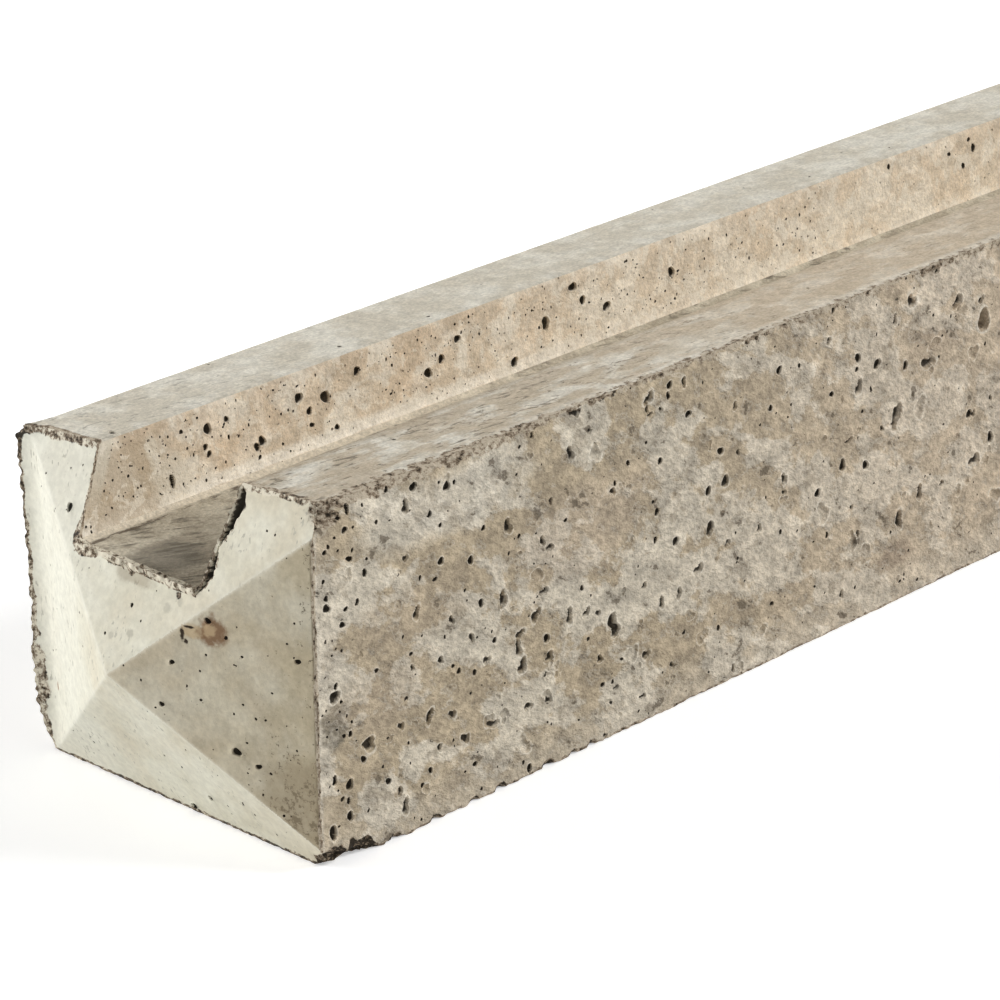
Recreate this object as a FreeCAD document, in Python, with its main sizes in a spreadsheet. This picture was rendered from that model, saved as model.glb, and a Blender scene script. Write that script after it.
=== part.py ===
"""Slotted concrete end post for fence panels, cast in one piece and lying on its back.

The post lies along X with its diamond point at -X and its foot at +X. The slot that takes the
edge of a fence panel opens upwards, the trowelled side is at -Y and the moulded side at +Y.
The origin is on the floor, under the middle of the post. All sizes are in millimetres.
"""
import FreeCAD, Part
import Sketcher
import math
import os

EDGE_TOLERANCE = 0.001
START_RADIUS = 0.5
SIZES = [
    ("post_length", 1750, "overall, from the tip of the point to the foot"),
    ("back_width", 104.6, "width of the plain back, opposite the slot"),
    ("slot_face_width", 109, "width of the face that the slot opens in, over both wings"),
    ("trowelled_height", 97.7, "height of the trowelled side, from the back to the slot face"),
    ("moulded_height", 91.3, "height of the moulded side, from the back to the slot face"),
    ("arris_radius", 2, "rounding of the mould's corners, which runs out along the point's ridges"),
    ("point_height", 22.1, "how far the tip stands out from the shoulders"),
    ("tip_height", 44.1, "height of the tip above the back"),
    ("tip_offset", 2.8, "how far the tip lies off the middle, towards the moulded side"),
    ("strike_off", 9.9, "how far the mould's end runs on past the trowelled side"),
    ("slot_mouth", 53.6, "clear width of the slot at the slot face"),
    ("slot_floor_height", 69.7, "height of the slot's floor above the back"),
    ("trowelled_wall_lean", 5.7, "how much further in the trowelled wing's wall stands at the floor"),
    ("moulded_wall_lean", 1.9, "how much further in the moulded wing's wall stands at the floor"),
    ("slot_root_radius", 2.5, "rounding along the slot's floor, where the walls rise"),
    ("slot_mouth_radius", 1.4, "rounding of the wings' inner edges"),
]

doc = FreeCAD.newDocument("fence_post")
sheet = doc.addObject("Spreadsheet::Sheet", "sizes")
for row, (alias, value, meaning) in enumerate(SIZES, start=1):
    sheet.set(f"A{row}", alias)
    sheet.set(f"B{row}", str(value))
    sheet.set(f"C{row}", meaning)
    sheet.setAlias(f"B{row}", alias)
doc.recompute()

# Places that several features share: stations along X, and corners as (across, up) the section.
SHOULDER = "(sizes.point_height - sizes.post_length / 2)"
SLOT_FACE_FALL = "((sizes.trowelled_height - sizes.moulded_height) / sizes.slot_face_width)"
SLOT_FACE_MIDDLE = "((sizes.trowelled_height + sizes.moulded_height) / 2)"
TROWELLED_FOOT = ("(-sizes.back_width / 2)", "0")
TROWELLED_TOP = ("(-sizes.slot_face_width / 2)", "sizes.trowelled_height")
TROWELLED_MOUTH = (
    "(-sizes.slot_mouth / 2)",
    f"({SLOT_FACE_MIDDLE} + sizes.slot_mouth / 2 * {SLOT_FACE_FALL})",
)
TROWELLED_ROOT = ("(-sizes.slot_mouth / 2 + sizes.trowelled_wall_lean)", "sizes.slot_floor_height")
MOULDED_FOOT = ("(sizes.back_width / 2)", "0")
MOULDED_TOP = ("(sizes.slot_face_width / 2)", "sizes.moulded_height")
MOULDED_MOUTH = (
    "(sizes.slot_mouth / 2)",
    f"({SLOT_FACE_MIDDLE} - sizes.slot_mouth / 2 * {SLOT_FACE_FALL})",
)
MOULDED_ROOT = ("(sizes.slot_mouth / 2 - sizes.moulded_wall_lean)", "sizes.slot_floor_height")


def body_plane(body, role):
    """The body's own origin plane with this role."""
    return next(plane for plane in body.Origin.OriginFeatures if plane.Role == role)


def section_sketch(body, name, station):
    """An empty sketch across the post, at a station along X."""
    sketch = body.newObject("Sketcher::SketchObject", name)
    sketch.AttachmentSupport = [(body_plane(body, "YZ_Plane"), "")]
    sketch.MapMode = "FlatFace"
    sketch.setExpression("AttachmentOffset.Base.z", station)
    return sketch


def bind(sketch, name, constraint, expression):
    """Adds a constraint to the sketch under a name, with its size worked out from the sheet."""
    sketch.renameConstraint(sketch.addConstraint(constraint), name)
    sketch.setExpression(f"Constraints.{name}", expression)


def place_point(sketch, name, geometry, place):
    """Holds a sketch's point, or the start of its line, at a place across and up the section."""
    across, up = place
    origin = (-1, 1)
    bind(sketch, f"{name}_across", Sketcher.Constraint("DistanceX", *origin, geometry, 1, 1.0), across)
    bind(sketch, f"{name}_up", Sketcher.Constraint("DistanceY", *origin, geometry, 1, 1.0), up)


def draw_outline(sketch, corners):
    """A closed outline of straight lines through the corners."""
    count = len(corners)
    turns = [2 * math.pi * index / count for index in range(count)]
    starts = [FreeCAD.Vector(math.cos(turn), math.sin(turn), 0) for turn in turns]
    for index in range(count):
        sketch.addGeometry(Part.LineSegment(starts[index], starts[(index + 1) % count]), False)
    for index in range(count):
        sketch.addConstraint(Sketcher.Constraint("Coincident", index, 2, (index + 1) % count, 1))
    for index, place in enumerate(corners):
        place_point(sketch, f"corner_{index}", index, place)
    doc.recompute()


def round_corner(sketch, corner, count, radius):
    """Rounds one corner of an outline of so many corners with a tangent arc."""
    lines = ((corner - 1) % count, corner)
    middles = [sketch.Geometry[line].value(sketch.Geometry[line].length() / 2) for line in lines]
    sketch.fillet(*lines, *middles, START_RADIUS, True, True)
    arc = next(
        index
        for index in reversed(range(sketch.GeometryCount))
        if isinstance(sketch.Geometry[index], Part.ArcOfCircle)
    )
    bind(sketch, f"radius_{corner}", Sketcher.Constraint("Radius", arc, START_RADIUS), radius)
    doc.recompute()


def mirrored_through(place, centre):
    """The image of a place on the other side of a centre."""
    return tuple(f"(2 * {middle} - {axis})" for axis, middle in zip(place, centre))


def cut_along(body, name, sketch):
    """Cuts the sketch's outline out of the body from end to end."""
    before = body.Shape.Volume
    pocket = body.newObject("PartDesign::Pocket", name)
    pocket.Profile = sketch
    pocket.SideType = "Symmetric"
    pocket.setExpression("Length", "2 * sizes.post_length")
    doc.recompute()
    if not body.Shape.Volume < before:
        raise RuntimeError(f"{name} cuts nothing")


def edges_along(feature, corners):
    """Names of the feature's edges along the post that pass through corners of the section."""
    places = [[float(feature.evalExpression(axis)) for axis in corner] for corner in corners]
    names = []
    for number, edge in enumerate(feature.Shape.Edges, start=1):
        ends = [(vertex.Point.y, vertex.Point.z) for vertex in edge.Vertexes]
        if any(all(math.dist(end, place) < EDGE_TOLERANCE for end in ends) for place in places):
            names.append(f"Edge{number}")
    return names


post = doc.addObject("PartDesign::Body", "fence_post")
post.Label = "fence_post"

# The mould's cavity: a straight shaft with leaning sides and rounded corners, a little wider than
# the post on the side that is left open for the concrete.
mould_section = section_sketch(post, "mould_section", SHOULDER)
mould_corners = [
    (f"{TROWELLED_FOOT[0]} - sizes.strike_off", TROWELLED_FOOT[1]),
    MOULDED_FOOT,
    MOULDED_TOP,
    (f"{TROWELLED_TOP[0]} - sizes.strike_off", f"{TROWELLED_TOP[1]} + sizes.strike_off * {SLOT_FACE_FALL}"),
]
draw_outline(mould_section, mould_corners)
for corner in range(len(mould_corners)):
    round_corner(mould_section, corner, len(mould_corners), "sizes.arris_radius")
shaft = post.newObject("PartDesign::Pad", "shaft")
shaft.Profile = mould_section
shaft.setExpression("Length", "sizes.post_length - sizes.point_height")

# The diamond point: the mould's section drawn out to the tip, so that its ridges sharpen towards it.
tip = section_sketch(post, "tip", "-sizes.post_length / 2")
tip.addGeometry(Part.Point(FreeCAD.Vector(1, 1, 0)), False)
place_point(tip, "tip", 0, ("sizes.tip_offset", "sizes.tip_height"))
doc.recompute()
point = post.newObject("PartDesign::AdditiveLoft", "point")
point.Profile = mould_section
point.Sections = [(tip, ["Vertex1"])]
point.Ruled = True
doc.recompute()

# The trowelled side: the concrete is struck off level with it, which clips the point's near facet.
struck_section = section_sketch(post, "struck_section", "0")
below = mirrored_through(TROWELLED_TOP, TROWELLED_FOOT)
above = mirrored_through(TROWELLED_FOOT, TROWELLED_TOP)
outside = f"2 * ({TROWELLED_TOP[0]} - sizes.strike_off)"
draw_outline(struck_section, [below, above, (outside, above[1]), (outside, below[1])])
cut_along(post, "struck_side", struck_section)

# The panel slot, wider at its mouth, which runs out through the foot and the point's top facet.
slot_section = section_sketch(post, "slot_section", "0")
slot_corners = [
    TROWELLED_ROOT,
    MOULDED_ROOT,
    mirrored_through(MOULDED_ROOT, MOULDED_MOUTH),
    mirrored_through(TROWELLED_ROOT, TROWELLED_MOUTH),
]
draw_outline(slot_section, slot_corners)
for root in (0, 1):
    round_corner(slot_section, root, len(slot_corners), "sizes.slot_root_radius")
cut_along(post, "panel_slot", slot_section)
slotted = post.Tip
mouths = post.newObject("PartDesign::Fillet", "slot_mouths")
mouths.Base = (slotted, edges_along(slotted, [TROWELLED_MOUTH, MOULDED_MOUTH]))
mouths.setExpression("Radius", "sizes.slot_mouth_radius")

doc.recompute()
for item in doc.Objects:
    if "Invalid" in item.State or "Error" in item.State:
        raise RuntimeError(f"{item.Name} did not build: {item.State}")
if post.Shape.isNull() or not post.Shape.isValid():
    raise RuntimeError("the post is not a valid solid")

os.makedirs("parts", exist_ok=True)
post.Shape.exportStep(f"parts/{post.Label}.step")
print(post.Label, round(post.Shape.Volume), post.Shape.BoundBox)
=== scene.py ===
"""Dresses the slotted concrete fence post with its cast, trowelled and broken surfaces.

Lengths are millimetres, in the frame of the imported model, until a mesh is written in metres.
"""
import math

import bmesh
import bpy
import numpy as np
from mathutils import Matrix, Vector
from mathutils.geometry import delaunay_2d_cdt


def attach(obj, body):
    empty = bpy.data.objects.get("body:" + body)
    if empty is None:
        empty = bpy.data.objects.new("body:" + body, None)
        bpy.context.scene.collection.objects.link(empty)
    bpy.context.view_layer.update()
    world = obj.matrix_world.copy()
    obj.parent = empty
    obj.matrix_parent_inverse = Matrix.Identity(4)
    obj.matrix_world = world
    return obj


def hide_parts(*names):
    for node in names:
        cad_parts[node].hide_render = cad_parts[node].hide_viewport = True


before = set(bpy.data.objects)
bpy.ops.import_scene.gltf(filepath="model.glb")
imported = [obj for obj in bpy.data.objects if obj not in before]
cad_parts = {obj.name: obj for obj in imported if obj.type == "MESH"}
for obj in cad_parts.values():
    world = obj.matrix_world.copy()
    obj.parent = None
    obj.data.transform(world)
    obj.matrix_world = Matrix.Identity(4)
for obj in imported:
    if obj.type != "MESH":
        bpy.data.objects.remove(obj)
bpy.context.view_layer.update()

MM = 0.001
HAIR = 1e-6
SEED = 4127
ALONG, ACROSS, UP = range(3)
SIDES, POINT, FOOT, FRONT_EDGE, FOOT_EDGE = range(5)

# The camera: where it stands from the tip of the point, how it is turned in degrees, and its lens.
CAMERA_FROM_TIP = (-564.1, -696.5, 405.2)
CAMERA_AZIMUTH = -45.31
CAMERA_ELEVATION = 22.08
CAMERA_ROLL = -1.47
CAMERA_REACH = 20.0
SENSOR = 36.0
LENS = 142.56
PICTURE = 1000
# How much of a length the picture keeps: up a steep, a slanted and a level surface, and along the post.
STEEP = 0.93
SLANTED = 0.85
SHALLOW = 0.38
LENGTHWISE = 0.72

# The lamps: where each one shines from, how bright a white surface facing it becomes, and its width.
LAMPS = [
    ("key", (-0.55, 0.80, 0.25), 0.95, 40.0),
    ("fill", (0.55, -0.62, 0.56), 0.70, 22.0),
]
SKY = 0.30
WHITE = (1.0, 1.0, 1.0, 1.0)
FLOOR_REACH = 6.0
FLOOR_WHITE = 0.88
FLOOR_LIFT = 0.40

# The zones of the sides in their order round the section, and how far apart the points of their
# surface are: where the camera looks, and further along the post.
ZONE_STEPS = {
    "back": (5.0, 10.0),
    "trowelled": (1.1, 5.0),
    "near_wing": (2.0, 8.0),
    "near_wall": (3.0, 10.0),
    "slot_floor": (2.0, 8.0),
    "far_wall": (1.9, 6.0),
    "far_wing": (2.0, 8.0),
    "moulded": (4.0, 10.0),
}
ZONES = list(ZONE_STEPS)
FACETS = ["top_facet", "bottom_facet", "near_facet", "far_facet"]
# Corners of the section, by the zone that starts there.
CORNERS = {
    "near_bottom": "trowelled",
    "near_top": "near_wing",
    "far_top": "moulded",
    "far_root": "far_wall",
}
# How the point's facets and the foot face along the post, and how far above the tip the wings begin.
FACET_FACING = -0.5
FOOT_FACING = 0.99
WINGS_ABOVE_TIP = 30.0
ARC_TOLERANCE = 0.18
SEEN_LENGTH = 330.0
FADE_LENGTH = 110.0

# How far apart points are along edges, ridges, rings of pits and on plain ends, and how that grows.
EDGE_STEP = 0.4
HIDDEN_EDGE_STEP = 1.0
STEP_GROWTH = 0.36
RING_STEP = 0.42
FAR_RING_STEP = 1.0
FOOT_EDGE_STEP = 8.0
FOOT_STEP = 7.0
FACET_STEP = 2.2
RIDGE_STEP = 0.4
COARSEST_STEP = 20.0
# The arrises that are divided finely: their step where the camera looks, and further along.
ARRIS_STEPS = [("near_top", 0.6, 6.0), ("near_bottom", 0.7, 6.0), ("far_top", 1.2, 8.0)]
# Shares of a step: when a square is split, how far its point strays, and how clear points stay of edges.
SPLIT_SHARE = 0.75
STRAY_SHARE = 0.26
EDGE_SHARE = 0.45
LINE_SHARE = 0.4
# How far to either side of a corner of the section its step is looked up.
BESIDE = 0.01
# The point's ridges: how steeply facets part there, how sharp the ridges are, and how wide their
# painted highlight is.
RIDGE_TURN = 0.45
RIDGE_SHARPNESS = 6.0
RIDGE_HIGHLIGHT_WIDTH = 0.5
SHARP_ANGLE = 40.0

# How much each surface undulates: the height and width of its broad unevenness, and its fine height.
RELIEF = {
    "back": (0.15, 22.0, 0.05),
    "trowelled": (0.45, 8.0, 0.26),
    "near_wing": (0.15, 14.0, 0.08),
    "near_wall": (0.15, 9.0, 0.07),
    "slot_floor": (0.22, 14.0, 0.09),
    "far_wall": (0.15, 9.0, 0.07),
    "far_wing": (0.15, 14.0, 0.08),
    "moulded": (0.15, 18.0, 0.05),
    "point": (0.08, 20.0, 0.02),
}
BROAD_SEED = 11
# The noise behind the unevenness and the wear: the width of its lumps, its seed and its layers.
NOISES = {
    "fine": (3.2, 23, 3),
    "lumps": (2.8, 37, 2),
    "grains": (1.1, 41, 1),
    "rim_widths": (4.0, 29, 3),
    "rim_patches": (7.0, 31, 3),
    "arris_widths": (5.0, 43, 3),
    "lip_jags": (4.0, 53, 3),
    "crack_jags": (3.0, 53, 3),
    "crack_teeth": (1.1, 59, 1),
    "break": (3.2, 61, 3),
    "bead_lumps": (4.0, 73, 3),
    "bead_gaps_and_shadows": (5.0, 79, 3),
}
# Large odd numbers that mix a place of the noise's lattice and a seed into a random value, and its top.
HASH_AXES = (374761393, 668265263, 2147483647)
HASH_SEED = 69069
HASH_MIX = 1274126177
HASH_TOP = 0xFFFF

# The crumbling front edge of each zone: its width on the side and on the facet, how far it swells,
# its lumps, its grains, and how dark it is.
RIMS = {
    "back": (1.6, 1.5, 0.0, 0.35, 0.25, 0.75),
    "trowelled": (0.6, 0.6, -0.1, 0.15, 0.12, 0.45),
    "near_wing": (2.2, 1.6, 0.2, 0.6, 0.35, 0.4),
    "near_wall": (1.0, 0.4, 0.0, 0.35, 0.3, 0.4),
    "slot_floor": (1.9, 1.6, 0.1, 0.55, 0.4, 0.35),
    "far_wall": (0.9, 0.3, 0.1, 0.4, 0.3, 0.4),
    "far_wing": (2.9, 2.3, 0.3, 0.8, 0.3, 0.45),
    "moulded": (3.0, 1.0, 0.2, 0.6, 0.4, 0.9),
}
# How far noise changes the width of crumbling and worn strips, how much of the swelling facets show, and
# the crumbling's patches: their share, how far noise changes it, and how strongly they show.
UNEVEN_WIDTH = 0.6
FACET_SWELL = 0.6
RIM_PATCHES = (0.65, 0.9, 2.4)
# Corners of the section where the crumbling is wider and darker: by how much, and how far round.
CORNER_CRUMBS = [("far_top", 1.4, 0.35, 5.0), ("far_root", 2.9, 0.2, 5.0)]
# Worn arrises: the strip's width, its wear, how far back it fades, what is left of it there, its darkness.
WORN_ARRISES = [
    ("near_top", 4.4, 0.9, 165.0, 0.42, 0.35),
    ("near_bottom", 1.3, 0.45, 400.0, 0.5, 0.4),
]
# The even and the grainy share of their wear. Then their dark patches: the even share, the grainy one and
# how strongly they show.
ARRIS_ROUGH = (0.7, 0.5)
ARRIS_PATCHES = (0.75, 0.6, 1.9)
# Broken corners of the front edge: the way in, how far the break reaches that way, and how dark it is.
BROKEN_CORNERS = [
    ("near_bottom", (1, 1, 1), (24.0, 6.0, 5.0), 0.85),
    ("near_top", (1, 1, -1), (8.5, 3.8, 6.0), 0.4),
]
# How lumpy and grainy breaks are, how far short of them that shows, and how fast they darken. Breaks count
# over crumbling edges, and chips over both.
BREAK_ROUGH = (0.5, 0.2)
BREAK_REACH = -0.4
BREAK_DARK = 4
OVER_CRUMBS = 1.01
OVER_BREAKS = 1.02
# The lip that concrete left where it ran past the mould's end on the far side: how far it stands out
# at each height, how wide and how dark it crumbles there, and the way that it stands out.
LIP_HEIGHTS = (0.0, 6.0, 15.0, 28.0, 45.0, 70.0, 85.0, 92.0)
LIP_AMOUNTS = (0.0, 0.6, 1.25, 1.2, 0.95, 0.9, 0.95, 1.0)
LIP_CRUMB_WIDTHS = (0.8, 2.4, 3.0, 2.6, 0.8, 0.5, 0.5, 0.9)
LIP_SOOTS = (0.6, 0.5, 0.4, 0.4, 0.5, 0.7, 0.75, 0.75)
LIP_REACH = (-2.6, 1.9, 0.0)
# How far the lip fades over the side, the facet and past the far corner, how steeply it fades over the
# facet and the side, how jagged it is, and the radius of a bite out of it at the corner.
LIP_SIDE = 8.0
LIP_FACET = 5.0
LIP_CORNER = 4.0
LIP_FADES = (2.0, 1.3)
LIP_JAGS = 0.25
LIP_BITE = 2.1
# The crack beside the thin flash on the near wing's inner edge: how thick the flash is and how far it
# stands, how far the crack opens at each height, how deep it is and how dark its painted shade is, and
# its crumbling fringe.
FLASH_WIDTH = 0.85
FLASH_STANDS = (0.25, 0.35, 0.25)
CRACK_HEIGHTS = (69.5, 71.5, 75.0, 78.5, 80.8, 83.5, 87.0, 92.0, 95.0, 97.0)
CRACK_OPENINGS = (0.3, 0.9, 1.7, 1.1, 0.12, 1.1, 1.9, 2.5, 1.7, 0.6)
CRACK_DEPTH = 2.6
CRACK_SHADE = 0.88
CRACK_FRINGE = 1.1
CRACK_FRINGE_SOOT = 0.35
CRACK_FRINGE_SHARE = 0.8
CRACK_STEP = 0.3
CRACK_REACH = 1.8
# How jagged and toothed the crack is, its least opening and depth, and how steep its walls are.
CRACK_ROUGH = (0.3, 0.25)
CRACK_LEAST = 0.05
CRACK_SHALLOWEST = 0.2
CRACK_STEEP = 4
CRACK_LIP = 0.6
# The bead across the slot's floor: how far it runs over, how it stands forward and up, and the gap below
# it with its painted shadow, by its inset, width, depth and the darkness of that shadow.
BEAD_WIDTH = 0.85
BEAD_FORWARD = 1.3
BEAD_UP = 0.9
BEAD_GAP_AND_SHADOW = (2.1, 0.55, 0.9, 0.95)
# How even, lumpy and grainy the bead is, its tallest lump, and how even and patchy the gap and its
# painted shadow are.
BEAD_ROUGH = (0.75, 1.1, 0.5)
BEAD_TALLEST = 1.7
BEAD_GAP_AND_SHADOW_PATCHES = (0.2, 1.6)

# Pits: the rings of points round one in radii, how many points a ring has, and which pits need all rings.
PIT_RINGS = (1.42, 1.16, 1.0, 0.9, 0.6)
FEW_RINGS = slice(2, 4)
RING_COUNTS = (7, 20)
RINGED_RADIUS = 0.7
# How close pits may lie, how far off others count as neighbours, and the shares of a pit that the points of
# its neighbours and the plain points round it keep out of, with how far round it these are looked for.
PIT_OVERLAP = 0.3
NEIGHBOUR_REACH = 8.0
NEIGHBOUR_SHARE = 1.05
CLEAR_SHARES = (1.25, 1.56)
CLEAR_MARGIN = 0.12
CLEAR_REACH = (2.5, 0.3)
# How deep pits are in radii where the photograph shows them and where they are scattered. Hollows are
# shallow and ragged pits whose painted dirt and shade fade out less steeply than those of plain pits.
SEEN_PIT = {"deep": 1.25}
SMALL_PIT = {"deep": 0.9}
HOLLOW = {"deep": 0.75, "dirt": 0.92, "ragged": 2.2, "steep": 2.1}
FAINT_HOLLOW = {"deep": 0.35, "dirt": 0.34, "ragged": 2.2, "steep": 2.1}
PIT_STEEP = 12.0
# How far pits are turned and stretched at random, the waves of their rims, and how their bowls curve.
PIT_TURN = 0.5
SEEN_STRETCHES = (0.9, 1.2)
SCATTER_STRETCHES = (0.8, 1.3)
RIM_WAVES = (0.12, 0.09)
BOWL = (2.5, 0.6)
# How far scattered pits stay from corners, in radii, and how much further from the front edge.
SCATTER_MARGIN = 1.4
SCATTER_SETBACK = 1.0
# How dark pits are painted with dirt and shade at some radii, and the rim that one raises: its height, the
# radius from which it is full, and its place and width in radii.
PIT_RADII = (0.9, 1.3, 2.6)
PIT_DIRT_AND_SHADE_SHARES = (1.0, 0.8, 0.35)
RIM_HEIGHT = 0.22
RIM_RADIUS = 1.2
RIM_PLACE = 1.17
RIM_WIDTH = 0.19

# Marks as the photograph shows them: the pixel of each one's middle and its height in pixels, with its
# width as a share of that where it isn't round.
NEAR_FACE_PITS = [
    (324, 553, 6), (328, 547, 5), (338, 551, 4), (352, 550, 6, 0.6), (349, 559, 6, 1.5), (323, 582, 5),
    (326, 609, 9), (345, 609, 6), (342, 625, 7), (326, 599, 6), (334, 697, 13), (335, 686, 6),
    (341, 702, 4.5), (325, 642, 4), (332, 641, 2.5), (336, 649, 3), (332, 656, 3), (335, 781, 11, 0.6),
    (350, 785, 12, 0.7), (330, 787, 3), (339, 791, 3), (349, 801, 8, 0.5), (350, 816, 9), (333, 833, 17, 0.5),
    (347, 509, 12, 0.45), (339, 519, 4), (322, 716, 3), (347, 716, 3.5), (352, 722, 4), (350, 734, 6),
    (344, 736, 5), (326, 711, 3), (340, 712, 3), (329, 722, 2.5), (337, 730, 3), (327, 737, 3),
    (325, 678, 2.5), (344, 530, 7), (413, 487, 9), (446, 486, 10), (387, 490, 6), (438, 482, 4),
    (454, 482, 5), (376, 522, 5), (429, 514, 6), (362, 505, 4), (365, 573, 7), (367, 559, 4),
    (440, 561, 8), (470, 560, 8), (420, 578, 5), (357, 602, 6), (481, 603, 8), (546, 638, 9),
    (453, 666, 5), (459, 671, 6), (565, 520, 5), (519, 536, 5), (483, 528, 6), (440, 525, 5),
    (614, 483, 5), (655, 540, 6), (657, 512, 7), (411, 654, 5), (603, 685, 6), (529, 768, 8),
    (475, 764, 6), (422, 785, 5), (482, 789, 4), (551, 724, 3), (547, 722, 3), (579, 720, 3),
    (494, 640, 6), (445, 637, 4), (363, 759, 7), (430, 770, 6), (388, 781, 7), (409, 510, 2.5),
    (983, 320, 20), (877, 364, 10), (905, 365, 8), (858, 358, 9), (990, 437, 10), (842, 465, 10),
    (865, 465, 9), (817, 493, 8), (725, 481, 11), (708, 491, 9), (710, 528, 12), (720, 451, 8),
    (675, 541, 9), (615, 630, 12), (669, 385, 8), (668, 396, 7), (660, 461, 7), (647, 443, 4),
    (770, 408, 6), (831, 394, 6), (779, 370, 8), (833, 311, 6), (688, 414, 8), (969, 414, 9),
]
FAR_WALL_PITS = [
    (207, 429, 12, 0.7), (181, 432, 5), (226, 419, 6), (224, 424, 3), (205, 447, 6), (209, 454, 6.5),
    (309, 411, 7), (312, 425, 5.5), (337, 427, 6), (262, 441, 9), (257, 447, 8), (260, 457, 4.5),
    (298, 398, 11, 0.8), (325, 397, 14, 0.7), (229, 437, 4), (239, 436, 3), (197, 418, 3), (168, 437, 3),
    (138, 488, 2.5), (112, 508, 3), (104, 491, 3), (86, 527, 3), (91, 527, 3), (91, 532, 3),
    (457, 339, 8), (428, 373, 10), (441, 359, 8), (514, 362, 9), (545, 323, 11), (572, 287, 9),
    (582, 300, 8), (606, 306, 9), (356, 371, 8), (671, 272, 9), (288, 410, 3), (281, 414, 3),
    (293, 411, 3), (249, 425, 3), (216, 468, 3), (226, 462, 3), (132, 466, 2), (105, 483, 2),
    (172, 481, 16, 0.3), (125, 437, 2), (131, 441, 2), (118, 442, 2), (121, 455, 2), (130, 466, 2.5),
    (148, 441, 2), (160, 437, 2.5), (163, 444, 2), (141, 486, 3), (159, 456, 2.5), (160, 463, 2),
    (186, 437, 2.5), (193, 445, 2), (122, 472, 2), (106, 515, 2.5), (152, 437, 2), (212, 437, 2.5),
]
TOP_FACET_PITS = [
    (70, 507, 8.5, 0.65), (83, 465, 2), (96, 455, 3), (132, 605, 4), (105, 633, 3), (267, 531, 2.5),
    (275, 535, 2.5), (71, 468, 2), (46, 473, 2),
]
NEAR_FACET_PITS = [
    (208, 621, 5.5, 1.2), (172, 662, 5, 1.0), (226, 638, 4, 1.0), (242, 657, 3), (298, 662, 5, 1.2),
    (236, 666, 2),
    (200, 671, 2.5), (141, 680, 2.5), (187, 686, 2.5), (201, 700, 3), (162, 704, 5, 1.0), (234, 714, 2.5),
    (256, 719, 3), (237, 752, 8, 1.0), (247, 743, 2.5), (259, 767, 5, 1.2), (271, 774, 3), (287, 644, 2.5),
    (297, 751, 2.5), (284, 816, 3), (263, 795, 2.5), (206, 655, 2.5), (294, 658, 2), (234, 665, 2),
]
BOTTOM_FACET_PITS = [
    (211, 798, 6, 0.8), (195, 806, 7), (94, 742, 3), (243, 804, 3.5), (228, 806, 2.5), (255, 815, 2.5),
]
FAR_WING_PITS = [(112, 433, 3)]
NEAR_FACE_HOLLOWS = [
    (503, 600, 19, 0.5), (416, 613, 11), (493, 641, 8, 1.6), (519, 634, 9, 1.2), (518, 649, 16, 0.6),
    (522, 666, 14, 0.9), (569, 617, 15, 0.6), (549, 657, 9, 1.4), (600, 659, 7, 1.4), (486, 660, 9),
    (440, 660, 7, 1.3), (412, 668, 6), (493, 724, 9, 1.5), (528, 706, 9), (429, 716, 14, 0.7),
    (439, 747, 7), (544, 591, 7, 1.5), (612, 491, 8), (896, 416, 26, 0.45), (859, 388, 14, 0.7),
    (784, 479, 14, 0.5), (919, 493, 14, 0.6), (661, 603, 9), (679, 593, 9), (727, 543, 8), (759, 528, 7),
    (849, 441, 5, 2.0), (612, 622, 22, 0.5), (598, 613, 7), (586, 612, 9), (566, 520, 5, 1.8),
    (468, 559, 7, 1.8), (442, 561, 7, 1.6), (550, 547, 8), (535, 615, 12), (508, 527, 12),
    (969, 414, 20, 0.6), (878, 364, 13), (856, 360, 12, 0.6), (708, 525, 16), (401, 726, 10, 0.7),
    (465, 738, 11), (387, 781, 13, 0.6), (400, 791, 8), (548, 700, 8),
]
# The pits that the photograph shows, in the order that they are added: the surface, the list, how much of a
# height the picture keeps there, and their look.
SEEN_PITS = [
    ("trowelled", NEAR_FACE_PITS, STEEP, SEEN_PIT),
    ("trowelled", NEAR_FACE_HOLLOWS, STEEP, HOLLOW),
    ("far_wall", FAR_WALL_PITS, STEEP, SEEN_PIT),
    ("far_wing", FAR_WING_PITS, SHALLOW, SEEN_PIT),
    ("top_facet", TOP_FACET_PITS, SLANTED, SEEN_PIT),
    ("near_facet", NEAR_FACET_PITS, SLANTED, SEEN_PIT),
    ("bottom_facet", BOTTOM_FACET_PITS, SLANTED, SEEN_PIT),
]
# Scattered pits: the zone, how many, between which distances from the tip, their radii and their look.
SCATTERED = [
    ("trowelled", 210, (24.0, 335.0), (0.28, 0.8), SMALL_PIT),
    ("trowelled", 110, (335.0, 1735.0), (0.9, 2.4), SMALL_PIT),
    ("far_wall", 330, (24.0, 300.0), (0.2, 0.5), SMALL_PIT),
    ("far_wall", 60, (330.0, 1735.0), (0.8, 2.0), SMALL_PIT),
    ("near_wall", 50, (40.0, 1735.0), (0.8, 2.0), SMALL_PIT),
    ("moulded", 80, (40.0, 1735.0), (0.9, 2.4), SMALL_PIT),
    ("back", 40, (40.0, 1735.0), (0.9, 2.4), SMALL_PIT),
    ("near_wing", 14, (60.0, 700.0), (0.4, 0.9), SMALL_PIT),
    ("far_wing", 14, (60.0, 700.0), (0.4, 0.9), SMALL_PIT),
    ("trowelled", 60, (30.0, 345.0), (0.8, 2.2), HOLLOW),
    ("trowelled", 90, (30.0, 345.0), (0.8, 2.6), FAINT_HOLLOW),
]
# Scattered pits of the point: how many, their radii, and how far from its outline they stay.
POINT_COUNT = 60
POINT_RADII = (0.2, 0.38)
POINT_MARGIN = 2.5
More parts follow.
